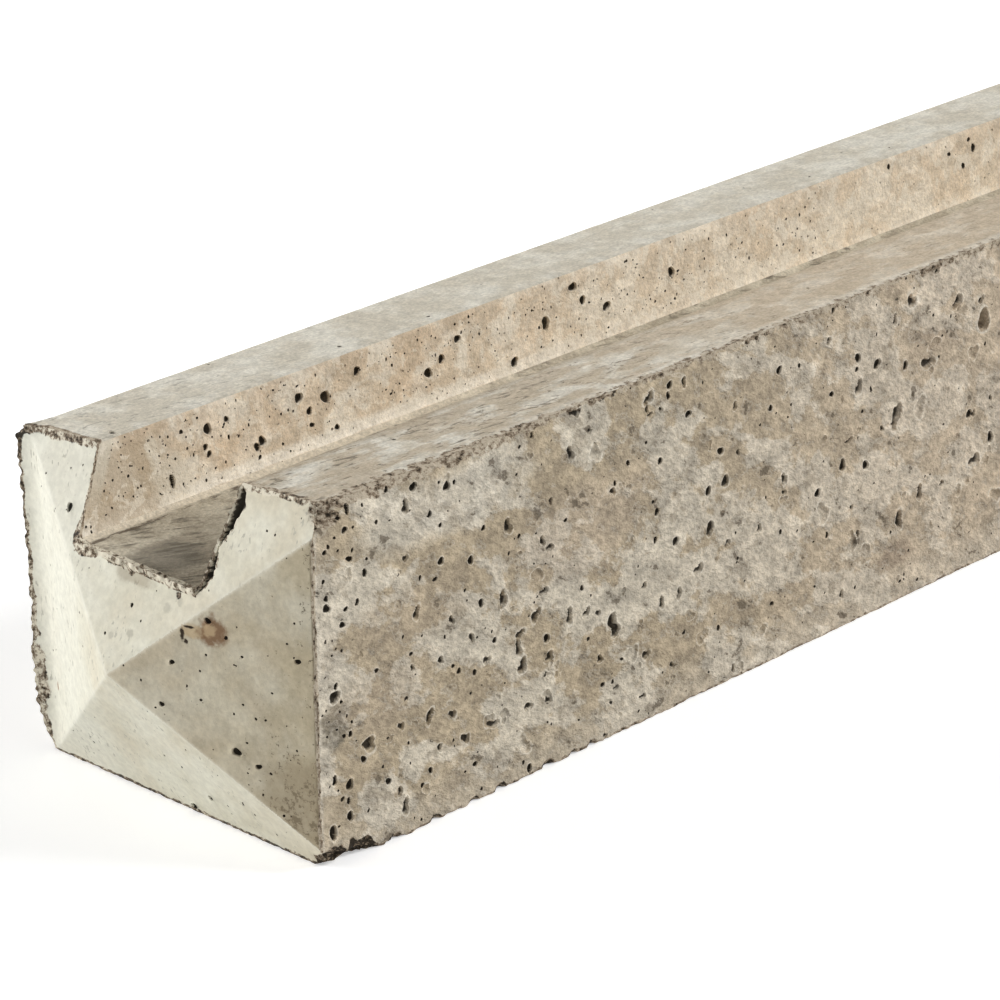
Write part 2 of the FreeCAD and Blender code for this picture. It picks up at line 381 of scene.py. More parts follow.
# Chips out of the bottom edge: the pixel of each one and its radius, and how far outside its middle lies.
BOTTOM_NOTCHES = [
    (592, 743, 1.9), (574, 750, 1.7), (549, 761, 2.2), (501, 788, 2.0), (475, 802, 1.8), (436, 823, 1.9),
    (396, 840, 2.0), (342, 857, 2.6), (325, 862, 2.4),
]
NOTCH_OUTSIDE = 0.4
# How dark bites are in their middle, and how much less at their rim.
BITE_DARK = (3.2, 2.2)
# Broken patches of the trowelled side: the pixel of each one's middle, its size in pixels, its darkness.
DARK_CHIPS = [(361, 845, 30, 19, 0.9), (333, 856, 36, 15, 0.9), (327, 521, 26, 18, 0.5)]
# How deep they are, how lumpy and grainy their outlines are, how steep they are, and how grainy inside.
CHIP_DEPTH = 0.9
CHIP_ROUGH = (0.45, 0.2)
CHIP_STEEP = 3.5
CHIP_GRAIN = 0.5

# The finish of each zone and facet.
FINISHES = {
    "back": "moulded_side",
    "trowelled": "trowelled_side",
    "near_wing": "wing_top",
    "near_wall": "slot_wall",
    "slot_floor": "slot_floor",
    "far_wall": "slot_wall",
    "far_wing": "wing_top",
    "moulded": "moulded_side",
    "top_facet": "cast_point",
    "bottom_facet": "cast_point",
    "near_facet": "dusty_point",
    "far_facet": "cast_point",
}
# Stains of each surface: the pixel of the middle, the width and height in pixels, the colour and strength.
STAINS = {
    "top_facet": [
        ((130, 634), (8, 10), (0.40, 0.38, 0.31), 0.6),
        ((167, 608), (9, 10), (0.40, 0.38, 0.31), 0.5),
        ((180, 602), (7, 9), (0.40, 0.38, 0.31), 0.5),
        ((111, 635), (6, 8), (0.40, 0.38, 0.31), 0.5),
        ((134, 577), (48, 15), (0.28, 0.225, 0.15), 0.5),
    ],
    "far_facet": [
        ((58, 686), (4, 10), (0.33, 0.18, 0.10), 0.8),
    ],
    "near_facet": [
        ((194, 632), (30, 16), (0.50, 0.37, 0.21), 0.7),
        ((212, 631), (27, 34), (0.19, 0.10, 0.045), 0.9),
        ((209, 630), (13, 15), (0.50, 0.37, 0.22), 0.8),
        ((182, 634), (4, 14), (0.03, 0.02, 0.012), 1.0),
        ((189, 627), (11, 3), (0.03, 0.02, 0.012), 1.0),
        ((186, 641), (4, 6), (0.03, 0.02, 0.012), 1.0),
        ((300, 810), (70, 110), (0.30, 0.24, 0.15), 0.55),
    ],
    "trowelled": [
        ((440, 505), (190, 75), (0.62, 0.57, 0.475), 0.75),
        ((420, 610), (120, 80), (0.44, 0.36, 0.26), 0.55),
        ((590, 520), (150, 110), (0.48, 0.395, 0.30), 0.5),
        ((895, 556), (44, 30), (0.30, 0.23, 0.17), 0.5),
        ((935, 340), (60, 40), (0.38, 0.305, 0.225), 0.5),
        ((334, 728), (30, 46), (0.20, 0.175, 0.13), 1.0),
        ((380, 700), (110, 80), (0.38, 0.31, 0.225), 0.55),
    ],
    "far_wall": [
        ((122, 488), (105, 110), (0.455, 0.365, 0.255), 0.7),
        ((172, 480), (44, 56), (0.66, 0.60, 0.49), 0.7),
        ((182, 500), (26, 14), (0.84, 0.755, 0.62), 0.7),
        ((152, 452), (12, 40), (0.66, 0.59, 0.47), 0.7),
    ],
    "slot_floor": [
        ((160, 558), (80, 30), (0.12, 0.105, 0.08), 0.6),
    ],
}
# Colours of the dirt and painted shade in pits and in the crack, and of crumbling edges, which also paint
# the shadow under the slot's bead, how much light all concrete mirrors, how far the noise of one layer is
# moved from the last, how uneven specks are, how the trowelled side leans, and how far back the strips
# behind the front edge reach.
PIT_DIRT_AND_SHADE = (0.022, 0.018, 0.013)
CRUMB_DARK = (0.03, 0.023, 0.015)
CRUMB_BROWN = (0.21, 0.16, 0.11)
CRUMB_PALE = (0.50, 0.43, 0.33)
CRUMB_CREAM = (0.70, 0.645, 0.52)
SPECULAR = 0.2
SEED_STEP = 7.31
SPECK_WOBBLE = 0.25
TROWELLED_LEAN = 0.0225
FRONT_STRIP = 8.0
# Stains: the size of their lumps as a share of their reach, how uneven they are, and where they fade.
STAIN_LUMPS = 0.8
STAIN_UNEVEN = 1.6
STAIN_EDGE = (1.15, 0.55)
# Crumbs: the lightness where dark turns brown, brown begins to turn pale, and pale is full. Then where
# crumbs and the dirt and painted shade in pits fade, and how strong that dirt and shade are.
CRUMB_TONES = (0.38, 0.47, 0.60)
CRUMB_EDGE = (0.02, 0.16)
DIRT_AND_SHADE_EDGE = (-0.05, 0.58)
DIRT_AND_SHADE_STRENGTH = 0.96
# Sockets of a mix node for colours, whose names aren't unique: its share, both colours and the result.
MIX_SHARE, MIX_FIRST, MIX_SECOND, MIX_RESULT = 0, 6, 7, 2


class Post:
    """The post's plain form: its section's loop, its zones and the facets of its point."""

    def __init__(self, node):
        form = bmesh.new()
        form.from_mesh(node.data)
        bmesh.ops.remove_doubles(form, verts=form.verts, dist=HAIR)
        self.tip = np.array(min((vertex.co for vertex in form.verts), key=lambda place: place.x)) / MM
        self.foot_x = max(vertex.co.x for vertex in form.verts) / MM
        self.read_facets(form)
        self.read_section(form)
        form.free()

    def read_facets(self, form):
        """Each facet's plane through the tip, as its slopes across and up, from its largest triangle."""
        front = (face for face in form.faces if face.normal.x < FACET_FACING)
        slopes = {}
        for face in sorted(front, key=lambda face: face.calc_area()):
            along, across, up = face.normal
            if abs(up) > abs(across):
                name = "top_facet" if up > 0 else "bottom_facet"
            else:
                name = "far_facet" if across > 0 else "near_facet"
            slopes[name] = (-across / along, -up / along)
        self.slopes = np.array([slopes[name] for name in FACETS])

    def read_section(self, form):
        """The section's loop from the foot's outline: along the back, up the trowelled side and over."""
        foot = {face for face in form.faces if face.normal.x > FOOT_FACING}
        neighbours = {}
        for edge in form.edges:
            if sum(face in foot for face in edge.link_faces) == 1:
                for vertex in edge.verts:
                    neighbours.setdefault(vertex, []).append(edge.other_vert(vertex))
        start = min(neighbours, key=lambda vertex: (round(vertex.co.z, 6), -vertex.co.y))
        walk = [start, min(neighbours[start], key=lambda vertex: vertex.co.y)]
        while walk[-1] is not start:
            walk.append(next(vertex for vertex in neighbours[walk[-1]] if vertex is not walk[-2]))
        outline = np.array([(vertex.co.y, vertex.co.z) for vertex in walk]) / MM
        self.loop = simplified(outline, ARC_TOLERANCE)
        spans = np.diff(self.loop, axis=0)
        lengths = np.linalg.norm(spans, axis=1)
        self.marks = np.concatenate([[0.0], np.cumsum(lengths)])
        self.round = self.marks[-1]
        tangents = spans / lengths[:, None]
        self.normals = np.stack([-tangents[:, 1], tangents[:, 0]], axis=1)
        self.zones = np.array([ZONES.index(self.zone_of(side)) for side in range(len(lengths))])
        starts = [np.argmax(self.zones == ZONES.index(zone)) for zone in CORNERS.values()]
        self.corners = dict(zip(CORNERS, self.marks[starts]))

    def zone_of(self, side):
        """The name of the zone that one side of the section's loop belongs to."""
        across, up = (self.loop[side] + self.loop[side + 1]) / 2
        facing_across, facing_up = self.normals[side]
        near = across < 0
        if abs(facing_up) < abs(facing_across):
            if facing_across < 0:
                return "trowelled" if near else "far_wall"
            return "near_wall" if near else "moulded"
        if facing_up < 0:
            return "back"
        if up < self.tip[UP] + WINGS_ABOVE_TIP:
            return "slot_floor"
        return "near_wing" if near else "far_wing"

    def side_at(self, station):
        """Which side of the section's loop each station round it lies on."""
        return np.clip(np.searchsorted(self.marks, station, side="right") - 1, 0, len(self.zones) - 1)

    def section_at(self, station):
        """The place across and up the section at each station round its loop."""
        return np.stack([np.interp(station, self.marks, axis) for axis in self.loop.T], axis=-1)

    def normal_at(self, station):
        """The outward direction across and up the section, halfway between two sides at a corner."""
        before = self.side_at((station - HAIR) % self.round)
        after = self.side_at((station + HAIR) % self.round)
        normal = self.normals[before] + self.normals[after]
        return normal / np.linalg.norm(normal, axis=-1, keepdims=True)

    def planes_at(self, places):
        """How far behind the tip each facet's plane lies, at places across and up the section."""
        return self.slopes @ (places - self.tip[ACROSS:]).T

    def front_at(self, places):
        """How far along the post the point's surface lies, with its ridges a little rounded."""
        planes = self.tip[ALONG] + self.planes_at(places)
        highest = planes.max(axis=0)
        return highest + np.log(np.exp((planes - highest) * RIDGE_SHARPNESS).sum(axis=0)) / RIDGE_SHARPNESS

    def facet_at(self, places):
        """Which facet of the point each place across and up the section lies on."""
        return self.planes_at(places).argmax(axis=0)

    def ridge_gap(self, places):
        """About how far each place across and up the section lies from the nearest ridge of the point."""
        planes = np.sort(self.planes_at(places), axis=0)
        return (planes[-1] - planes[-2]) / RIDGE_TURN

    def front_edge(self, station):
        """How far along the post the front edge of the sides lies at each station."""
        return self.front_at(self.section_at(station))

    def corner_place(self, corner):
        """Where a corner of the section lies on the front edge."""
        station = self.corners[corner]
        return np.array((*self.front_edge(np.array([station])), *self.section_at(station)))

    def main_side(self, zone):
        """The longest straight side of a zone of the section."""
        return int(np.where(self.zones == ZONES.index(zone), np.diff(self.marks), 0).argmax())

    def plane_of(self, surface):
        """A point on a facet or on a zone of the sides, and the direction that it faces."""
        if surface in FACETS:
            return self.tip, np.array((-1.0, *self.slopes[FACETS.index(surface)]))
        side = self.main_side(surface)
        return np.array((0.0, *self.loop[side])), np.array((0.0, *self.normals[side]))

    def flat_place(self, surface, place):
        """The part that a place on a surface belongs to, and its place on that part's flat layout."""
        if surface in FACETS:
            return POINT, place[ACROSS:]
        side = self.main_side(surface)
        span = self.loop[side + 1] - self.loop[side]
        station = self.marks[side] + (place[ACROSS:] - self.loop[side]) @ span / np.linalg.norm(span)
        return SIDES, (place[ALONG], station)


def simplified(points, tolerance):
    """The outline with only the points that its corners and arcs need."""
    chord = points[-1] - points[0]
    length = np.linalg.norm(chord)
    inner = points[1:-1] - points[0]
    if length < HAIR:
        distance = np.linalg.norm(inner, axis=1)
    else:
        distance = abs(inner[:, 0] * chord[1] - inner[:, 1] * chord[0]) / length
    if len(inner) == 0 or distance.max() <= tolerance:
        return points[[0, -1]]
    split = 1 + int(distance.argmax())
    before = simplified(points[: split + 1], tolerance)
    after = simplified(points[split:], tolerance)
    return np.concatenate([before[:-1], after])


def distance_to_loop(places, loop):
    """The distance of each place from a loop of straight sides, and where on the loop is nearest."""
    best = np.full(len(places), np.inf)
    nearest = np.zeros(len(places))
    travelled = 0.0
    for start, end in zip(loop[:-1], loop[1:]):
        side = end - start
        length = np.linalg.norm(side)
        share = np.clip(((places - start) @ side) / length**2, 0.0, 1.0)
        distance = np.linalg.norm(places - start - share[:, None] * side, axis=1)
        closer = distance < best
        best = np.where(closer, distance, best)
        nearest = np.where(closer, travelled + share * length, nearest)
        travelled += length
    return best, nearest


def within(places, loop):
    """Whether each place lies inside a closed loop."""
    across, up = places[:, :1], places[:, 1:]
    start_across, start_up = loop[:-1].T
    end_across, end_up = loop[1:].T
    spans = (start_up > up) != (end_up > up)
    rise = np.where(end_up == start_up, 1.0, end_up - start_up)
    crossing = start_across + (up - start_up) * (end_across - start_across) / rise
    return (spans & (crossing > across)).sum(axis=1) % 2 == 1


def graded_points(low, high, step_at, rng):
    """Points over a rectangle, as far apart as step_at asks, from squares split until fine enough."""
    counts = [max(1, math.ceil((top - bottom) / COARSEST_STEP)) for bottom, top in zip(low, high)]
    grid = np.meshgrid(*(np.arange(count) + 0.5 for count in counts), indexing="ij")
    size = COARSEST_STEP
    centres = np.stack([axis.ravel() for axis in grid], axis=1) * size + np.array(low)
    done = []
    while len(centres):
        split = step_at(centres) < size * SPLIT_SHARE
        kept = centres[~split]
        done.append(kept + rng.uniform(-STRAY_SHARE, STRAY_SHARE, kept.shape) * size)
        quarters = np.array([(-1, -1), (-1, 1), (1, -1), (1, 1)]) * size / 4
        centres = (centres[split][:, None, :] + quarters[None]).reshape(-1, 2)
        size /= 2
    points = np.concatenate(done)
    inside = np.all((points > np.array(low)) & (points < np.array(high)), axis=1)
    return points[inside]


def marched(start, end, step_at):
    """Stations from start to end whose spacing follows step_at, ends included."""
    stations = [start]
    while stations[-1] < end:
        stations.append(stations[-1] + float(step_at(stations[-1])))
    stations = np.array(stations)
    return start + (stations - start) * (end - start) / (stations[-1] - start)


def lattice_noise(points, scale, seed):
    """Smooth noise between -1 and 1 with lumps about as wide as scale."""
    cell = np.floor(points / scale).astype(np.int64)
    share = points / scale - cell
    share = share * share * (3 - 2 * share)
    total = np.zeros(len(points))
    for corner in np.ndindex(2, 2, 2):
        mixed = (cell + np.array(corner)) @ np.array(HASH_AXES) + seed * HASH_SEED
        mixed = (mixed ^ (mixed >> 13)) * HASH_MIX & 0x7FFFFFFF
        mixed = (mixed ^ (mixed >> 16)) & HASH_TOP
        weight = np.prod(np.where(np.array(corner) == 1, share, 1 - share), axis=1)
        total += weight * (mixed / (HASH_TOP / 2) - 1)
    return total


def layered_noise(points, scale, seed, layers=3):
    """Noise with finer and weaker layers on top of each other."""
    total = np.zeros(len(points))
    for layer in range(layers):
        total += lattice_noise(points, scale / 2**layer, seed + layer) / 2**layer
    return total / (2 - 0.5 ** (layers - 1))


def bell(value):
    """A smooth bump that is 1 at 0 and falls off within about 2 to either side."""
    return np.exp(-(value**2))


def placed(name, data):
    """Adds an object with this data to the scene."""
    holder = bpy.data.objects.new(name, data)
    bpy.context.scene.collection.objects.link(holder)
    return holder


class Camera:
    """The picture's camera, which also says where on the post a place in the picture lies."""

    def __init__(self, post):
        self.post = post
        self.place = post.tip + np.array(CAMERA_FROM_TIP)
        azimuth, elevation, roll = map(math.radians, (CAMERA_AZIMUTH, CAMERA_ELEVATION, CAMERA_ROLL))
        level_share = math.cos(elevation)
        along, across = -math.sin(azimuth) * level_share, math.cos(azimuth) * level_share
        self.forward = np.array((along, across, -math.sin(elevation)))
        level = np.cross(self.forward, (0, 0, 1))
        level /= np.linalg.norm(level)
        rise = np.cross(level, self.forward)
        self.right = math.cos(roll) * level + math.sin(roll) * rise
        self.up = -math.sin(roll) * level + math.cos(roll) * rise
        self.focal = LENS / SENSOR * PICTURE

    def meet(self, pixel, surface):
        """Where the ray through a pixel meets a surface, and how many pixels a millimetre has there."""
        across, down = (np.array(pixel) - PICTURE / 2) / self.focal
        ray = self.forward + across * self.right - down * self.up
        point, normal = self.post.plane_of(surface)
        depth = np.dot(point - self.place, normal) / np.dot(ray, normal)
        return self.place + depth * ray, self.focal / depth

    def make(self):
        """Adds the camera to the scene."""
        camera = bpy.data.cameras.new("camera")
        camera.sensor_width = SENSOR
        camera.sensor_fit = "HORIZONTAL"
        camera.lens = LENS
        camera.clip_end = CAMERA_REACH
        holder = placed("camera", camera)
        turn = np.stack([self.right, self.up, -self.forward], axis=1)
        holder.matrix_world = Matrix.Translation(self.place * MM) @ Matrix(turn.tolist()).to_4x4()
        bpy.context.scene.camera = holder


def pit_rim(pit, angle):
    """How far a pit's uneven rim lies out at each angle, about 1."""
    first, second = pit["phases"]
    waves = RIM_WAVES[0] * np.sin(2 * angle + first) + RIM_WAVES[1] * np.sin(3 * angle + second)
    return 1 + pit["ragged"] * waves


def pit_share(pit, flat):
    """How far out each flat place lies in a pit: 0 at its middle and 1 at its rim."""
    local = (flat - pit["centre"]) @ pit["turn"] / pit["reach"]
    return np.linalg.norm(local, axis=1) / pit_rim(pit, np.arctan2(local[:, 1], local[:, 0]))


class Pits:
    """Small holes in the surface, each an uneven ellipse on the flat layout of the sides or the point."""

    def __init__(self, camera):
        self.camera = camera
        self.post = camera.post
        self.rng = np.random.default_rng(SEED)
        self.found = {SIDES: [], POINT: []}

    def add(self, part, centre, radius, stretch, deep, dirt=None, ragged=1.0, steep=PIT_STEEP):
        """Adds a pit, so many radii deep, unless its middle lies inside an earlier one."""
        centre = np.array(centre)
        others = self.found[part]
        if others:
            distance = np.linalg.norm(np.array([pit["centre"] for pit in others]) - centre, axis=1)
            if np.any(distance < np.array([pit["radius"] for pit in others]) + PIT_OVERLAP * radius):
                return
        angle = self.rng.uniform(-PIT_TURN, PIT_TURN) / max(stretch, 1 / stretch) ** 2
        cosine, sine = math.cos(angle), math.sin(angle)
        others.append(
            {
                "centre": centre,
                "radius": radius,
                "depth": radius * deep,
                "dirt": np.interp(radius, PIT_RADII, PIT_DIRT_AND_SHADE_SHARES) if dirt is None else dirt,
                "ragged": ragged,
                "steep": steep,
                "reach": np.array((radius / stretch, radius * stretch)),
                "turn": np.array(((cosine, -sine), (sine, cosine))),
                "phases": self.rng.uniform(0, 2 * math.pi, 2),
            }
        )

    def draw_radius(self, radii):
        """A radius at random between two, with more small ones than large ones."""
        smallest, largest = radii
        return smallest * (largest / smallest) ** (self.rng.uniform() ** 2.0)

    def add_seen(self, surface, spots, foreshortening, look):
        """Adds the pits that the photograph shows on one surface."""
        for across, down, tall, *slim in spots:
            place, scale = self.camera.meet((across, down), surface)
            radius = tall / (2 * scale * foreshortening)
            stretch = self.rng.uniform(*SEEN_STRETCHES)
            if slim:
                stretch = 1 / math.sqrt(slim[0])
                radius *= math.sqrt(slim[0])
            self.add(*self.post.flat_place(surface, place), radius, stretch, **look)

    def scatter(self, zone, count, span, radii, look):
        """Adds pits at random on one zone of the sides, between two distances from the tip."""
        side = self.post.main_side(zone)
        low, high = self.post.marks[side], self.post.marks[side + 1]
        for _ in range(count):
            radius = self.draw_radius(radii)
            margin = radius * SCATTER_MARGIN
            along = self.post.tip[ALONG] + self.rng.uniform(*span)
            station = self.rng.uniform(low + margin, high - margin)
            if along > self.post.front_edge(np.array([station]))[0] + margin + SCATTER_SETBACK:
                stretch = self.rng.uniform(*SCATTER_STRETCHES)
                self.add(SIDES, (along, station), radius, stretch, **look)

    def scatter_point(self):
        """Adds pits at random on the point's facets."""
        loop = self.post.loop
        places = self.rng.uniform(loop.min(axis=0), loop.max(axis=0), (POINT_COUNT, 2))
        distance, _ = distance_to_loop(places, loop)
        for place in places[within(places, loop) & (distance > POINT_MARGIN)]:
            self.add(POINT, place, self.draw_radius(POINT_RADII), 1.0, **SMALL_PIT)

    def rings_of(self, pit, seen):
        """Points on the rings round a pit, with fewer rings where it is small or far off, and its middle."""
        spacing = RING_STEP if seen else FAR_RING_STEP
        count = int(np.clip(2 * math.pi * pit["radius"] / spacing, *RING_COUNTS))
        angle = np.arange(count) * 2 * math.pi / count
        circle = np.stack([np.cos(angle), np.sin(angle)], axis=1) * pit_rim(pit, angle)[:, None]
        rings = PIT_RINGS if seen and pit["radius"] >= RINGED_RADIUS else PIT_RINGS[FEW_RINGS]
        shape = [circle * ring * pit["reach"] @ pit["turn"].T for ring in rings]
        return np.concatenate([*shape, np.zeros((1, 2))]) + pit["centre"]

    def ring_points(self, part):
        """Points on and inside the rims of one part's pits, clear of each other."""
        found = self.found[part]
        centres = np.array([pit["centre"] for pit in found])
        seen = (centres[:, 0] < self.post.tip[ALONG] + SEEN_LENGTH) | (part == POINT)
        rings = [self.rings_of(pit, close) for pit, close in zip(found, seen)]
        for index, pit in enumerate(found):
            distance = np.linalg.norm(centres[index + 1 :] - pit["centre"], axis=1)
            for other in index + 1 + np.flatnonzero(distance < NEIGHBOUR_REACH):
                rings[other] = rings[other][pit_share(pit, rings[other]) > NEIGHBOUR_SHARE]
        return np.concatenate(rings)

    def clear(self, part, flat):
        """The flat places that lie outside every pit's surroundings."""
        keep = np.ones(len(flat), bool)
        for pit in self.found[part]:
            limit = CLEAR_REACH[0] * pit["reach"].max() + CLEAR_REACH[1]
            close = np.flatnonzero(np.all(abs(flat - pit["centre"]) < limit, axis=1))
            margin = CLEAR_SHARES[int(pit["radius"] >= RINGED_RADIUS)] + CLEAR_MARGIN / pit["radius"]
            keep[close[pit_share(pit, flat[close]) < margin]] = False
        return flat[keep]

    def depth(self, part, flat):
        """How deep the surface lies at each flat place, below 0 on rims, and how dark its painted dirt and
        shade are, from 0 to 1.
        """
        depth, rise, dirt = np.zeros((3, len(flat)))
        for pit in self.found[part]:
            close = np.flatnonzero(np.all(abs(flat - pit["centre"]) < 2 * pit["reach"].max(), axis=1))
            share = pit_share(pit, flat[close])
            inside = np.clip(share, 0, 1)
            depth[close] = np.maximum(depth[close], pit["depth"] * (1 - inside ** BOWL[0]) ** BOWL[1])
            dirt[close] = np.maximum(dirt[close], pit["dirt"] * np.clip((1 - inside) * pit["steep"], 0, 1))
            rim = bell((share - RIM_PLACE) / RIM_WIDTH) * (share > 1) * RIM_HEIGHT
            rise[close] = np.maximum(rise[close], rim * min(1.0, pit["radius"] / RIM_RADIUS))
        return np.where(depth > 0, depth, -rise), dirt


def twice_area(one, two, three):
    """Twice the area of flat triangles, negative where they turn clockwise."""
    across, up = (two - one).T
    return across * (three - one)[:, 1] - up * (three - one)[:, 0]


def triangulated(points, outline, creases):
    """Triangles between flat points, inside an outline and along the creases, all turning one way."""
    vectors = [Vector(point) for point in points]
    ring = points[outline]
    if twice_area(points[:1], ring[:-1], ring[1:]).sum() < 0:
        outline = outline[::-1]
    _, _, faces, origins, _, insides = delaunay_2d_cdt(vectors, creases, [outline], 1, HAIR, True)
    first = np.array([origin[0] for origin in origins])
    triangles = first[np.array([face for face, inside in zip(faces, insides) if inside])]
    area = twice_area(*(points[triangles[:, corner]] for corner in range(3)))
    triangles[area < 0] = triangles[area < 0][:, ::-1]
    return triangles


class Skin:
    """The post's surface as points and triangles, laid out flat in parts that share their edges.

    The sides are laid out by the distance along the post and the station round its section, and the
    point and the foot by the place across and up the section.
    """

    def __init__(self, post, pits):
        self.post = post
        self.pits = pits
        self.rng = np.random.default_rng(SEED)
        self.flat = np.zeros((0, 2))
        self.part = np.zeros(0, int)
        self.triangles = []
        self.finishes = []
        edge_steps = {zone: EDGE_STEP for zone in ZONES} | {"back": HIDDEN_EDGE_STEP}
        self.front_stations = self.corner_stations(edge_steps)
        self.foot_stations = self.corner_stations({zone: FOOT_EDGE_STEP for zone in ZONES})
        front = post.front_edge(self.front_stations)
        self.front = self.add(FRONT_EDGE, self.along_sides(front, self.front_stations))
        self.foot = self.add(FOOT_EDGE, self.along_sides(post.foot_x, self.foot_stations))
        self.lay_sides()
        self.lay_end(POINT, self.front, self.front_stations, self.point_step)
        self.lay_end(FOOT, self.foot, self.foot_stations, lambda flat: np.full(len(flat), FOOT_STEP))
        self.place()

    @staticmethod
    def along_sides(along, stations):
        """Flat places on the sides at these distances along the post and stations round it."""
        return np.stack(np.broadcast_arrays(along, stations), axis=1)

    def add(self, part, flat):
        """Adds points of a part and gives their numbers."""
        first = len(self.part)
        self.flat = np.concatenate([self.flat, flat])
        self.part = np.concatenate([self.part, np.full(len(flat), part)])
        return np.arange(first, len(self.part))

    def on(self, *parts):
        """Which points lie on these parts."""
        return np.isin(self.part, parts)

    def by(self, zone):
        """Which points lie on a zone of the sides, or next to it on an end."""
        return self.zone == ZONES.index(zone)

    def corner_stations(self, steps):
        """Stations round the section, at most each zone's step apart, with every corner among them."""
        stations = []
        for low, high, zone in zip(self.post.marks[:-1], self.post.marks[1:], self.post.zones):
            count = math.ceil((high - low) / steps[ZONES[zone]])
            stations.append(np.linspace(low, high, count, endpoint=False))
        return np.concatenate(stations)

    def side_step(self, flat):
        """How far apart the sides' points are, finer where the camera looks and towards broken edges."""
        along, station = flat.T
        post = self.post
        steps = np.array(list(ZONE_STEPS.values()))
        fine, coarse = steps[post.zones[post.side_at(station)]].T
        beyond = np.clip((along - (post.tip[ALONG] + SEEN_LENGTH)) / FADE_LENGTH, 0, 1)
        step = fine + (coarse - fine) * beyond
        setback = along - post.front_edge(station)
        step = np.minimum(step, EDGE_STEP + STEP_GROWTH * np.maximum(setback, 0))
        for arris, near_step, far_step in ARRIS_STEPS:
            arris_step = near_step + (far_step - near_step) * beyond
            step = np.minimum(step, arris_step + STEP_GROWTH * abs(station - post.corners[arris]))
        return step

    def point_step(self, flat):
        """How far apart the point's points are, finer at its ridges and its outline."""
        distance, nearest = distance_to_loop(flat, self.post.loop)
        step = np.minimum(FACET_STEP, RIDGE_STEP + STEP_GROWTH * self.post.ridge_gap(flat))
        step = np.minimum(step, EDGE_STEP + STEP_GROWTH * distance)
        by_wall = self.post.zones[self.post.side_at(nearest)] == ZONES.index("near_wall")
        return np.where(by_wall, np.minimum(step, np.maximum(CRACK_STEP, distance - CRACK_REACH)), step)

    def add_line(self, station):
        """Adds the points along a corner of the section, between the two ends."""
        start = float(self.post.front_edge(np.array([station]))[0])
        either_side = np.array([station - BESIDE, station + BESIDE]) % self.post.round

        def step_at(along):
            return self.side_step(self.along_sides(along, either_side)).min()

        along = marched(start, self.post.foot_x, step_at)[1:-1]
        return self.add(SIDES, self.along_sides(along, station))

    def inner_sides(self):
        """Adds the points of the sides between their corners, clear of edges, and the pits' rings."""
        post = self.post
        flat = graded_points((post.tip[ALONG], 0.0), (post.foot_x, post.round), self.side_step, self.rng)
        step = self.side_step(flat)
        along, station = flat.T
        clear = along - post.front_edge(station) > EDGE_SHARE * step
        clear &= abs(station[:, None] - post.marks[None]).min(axis=1) > LINE_SHARE * step
        clear &= post.foot_x - along > LINE_SHARE * step
        flat = self.pits.clear(SIDES, flat[clear])
        return self.add(SIDES, np.concatenate([flat, self.pits.ring_points(SIDES)]))

    def lay_sides(self):
        """Lays out the sides as one sheet, cut open along its first corner."""
        post = self.post
        seam = self.add_line(0.0)
        lines = [self.add_line(mark) for mark in post.marks[1:-1]]
        inner = self.inner_sides()
        wrapped = np.concatenate([[self.front[0]], seam, [self.foot[0]]])
        numbers = np.concatenate([self.front, self.foot, seam, *lines, inner, wrapped])
        plain = len(numbers) - len(wrapped)
        points = self.flat[numbers]
        points[plain:, 1] = post.round
        local = np.zeros(len(self.part), int)
        local[numbers[:plain]] = np.arange(plain)
        edge = [local[self.front], np.arange(plain, len(numbers)), local[self.foot[::-1]], local[seam[::-1]]]
        creases = []
        for mark, line in zip(post.marks[1:-1], lines):
            start = self.front[np.argmin(abs(self.front_stations - mark))]
            end = self.foot[np.argmin(abs(self.foot_stations - mark))]
            run = local[[start, *line, end]].tolist()
            creases += list(zip(run[:-1], run[1:]))
        triangles = triangulated(points, np.concatenate(edge).tolist(), creases)
        middle = points[triangles][:, :, 1].mean(axis=1)
        self.triangles.append(numbers[triangles])
        self.finishes.append(post.zones[post.side_at(middle)])

    def lay_end(self, part, edge, stations, step_at):
        """Lays out the point or the foot inside its edge."""
        post = self.post
        flat = graded_points(post.loop.min(axis=0), post.loop.max(axis=0), step_at, self.rng)
        distance, _ = distance_to_loop(flat, post.loop)
        flat = flat[within(flat, post.loop) & (distance > EDGE_SHARE * step_at(flat))]
        if part == POINT:
            flat = np.concatenate([self.pits.clear(POINT, flat), self.pits.ring_points(POINT)])
        numbers = np.concatenate([edge, self.add(part, flat)])
        points = np.concatenate([post.section_at(stations), flat])
        triangles = triangulated(points, list(range(len(edge))), [])
        finish = np.full(len(triangles), ZONES.index("back"))
        if part == POINT:
            finish = len(ZONES) + post.facet_at(points[triangles].mean(axis=1))
            triangles = triangles[:, ::-1]
        self.triangles.append(numbers[triangles])
        self.finishes.append(finish)

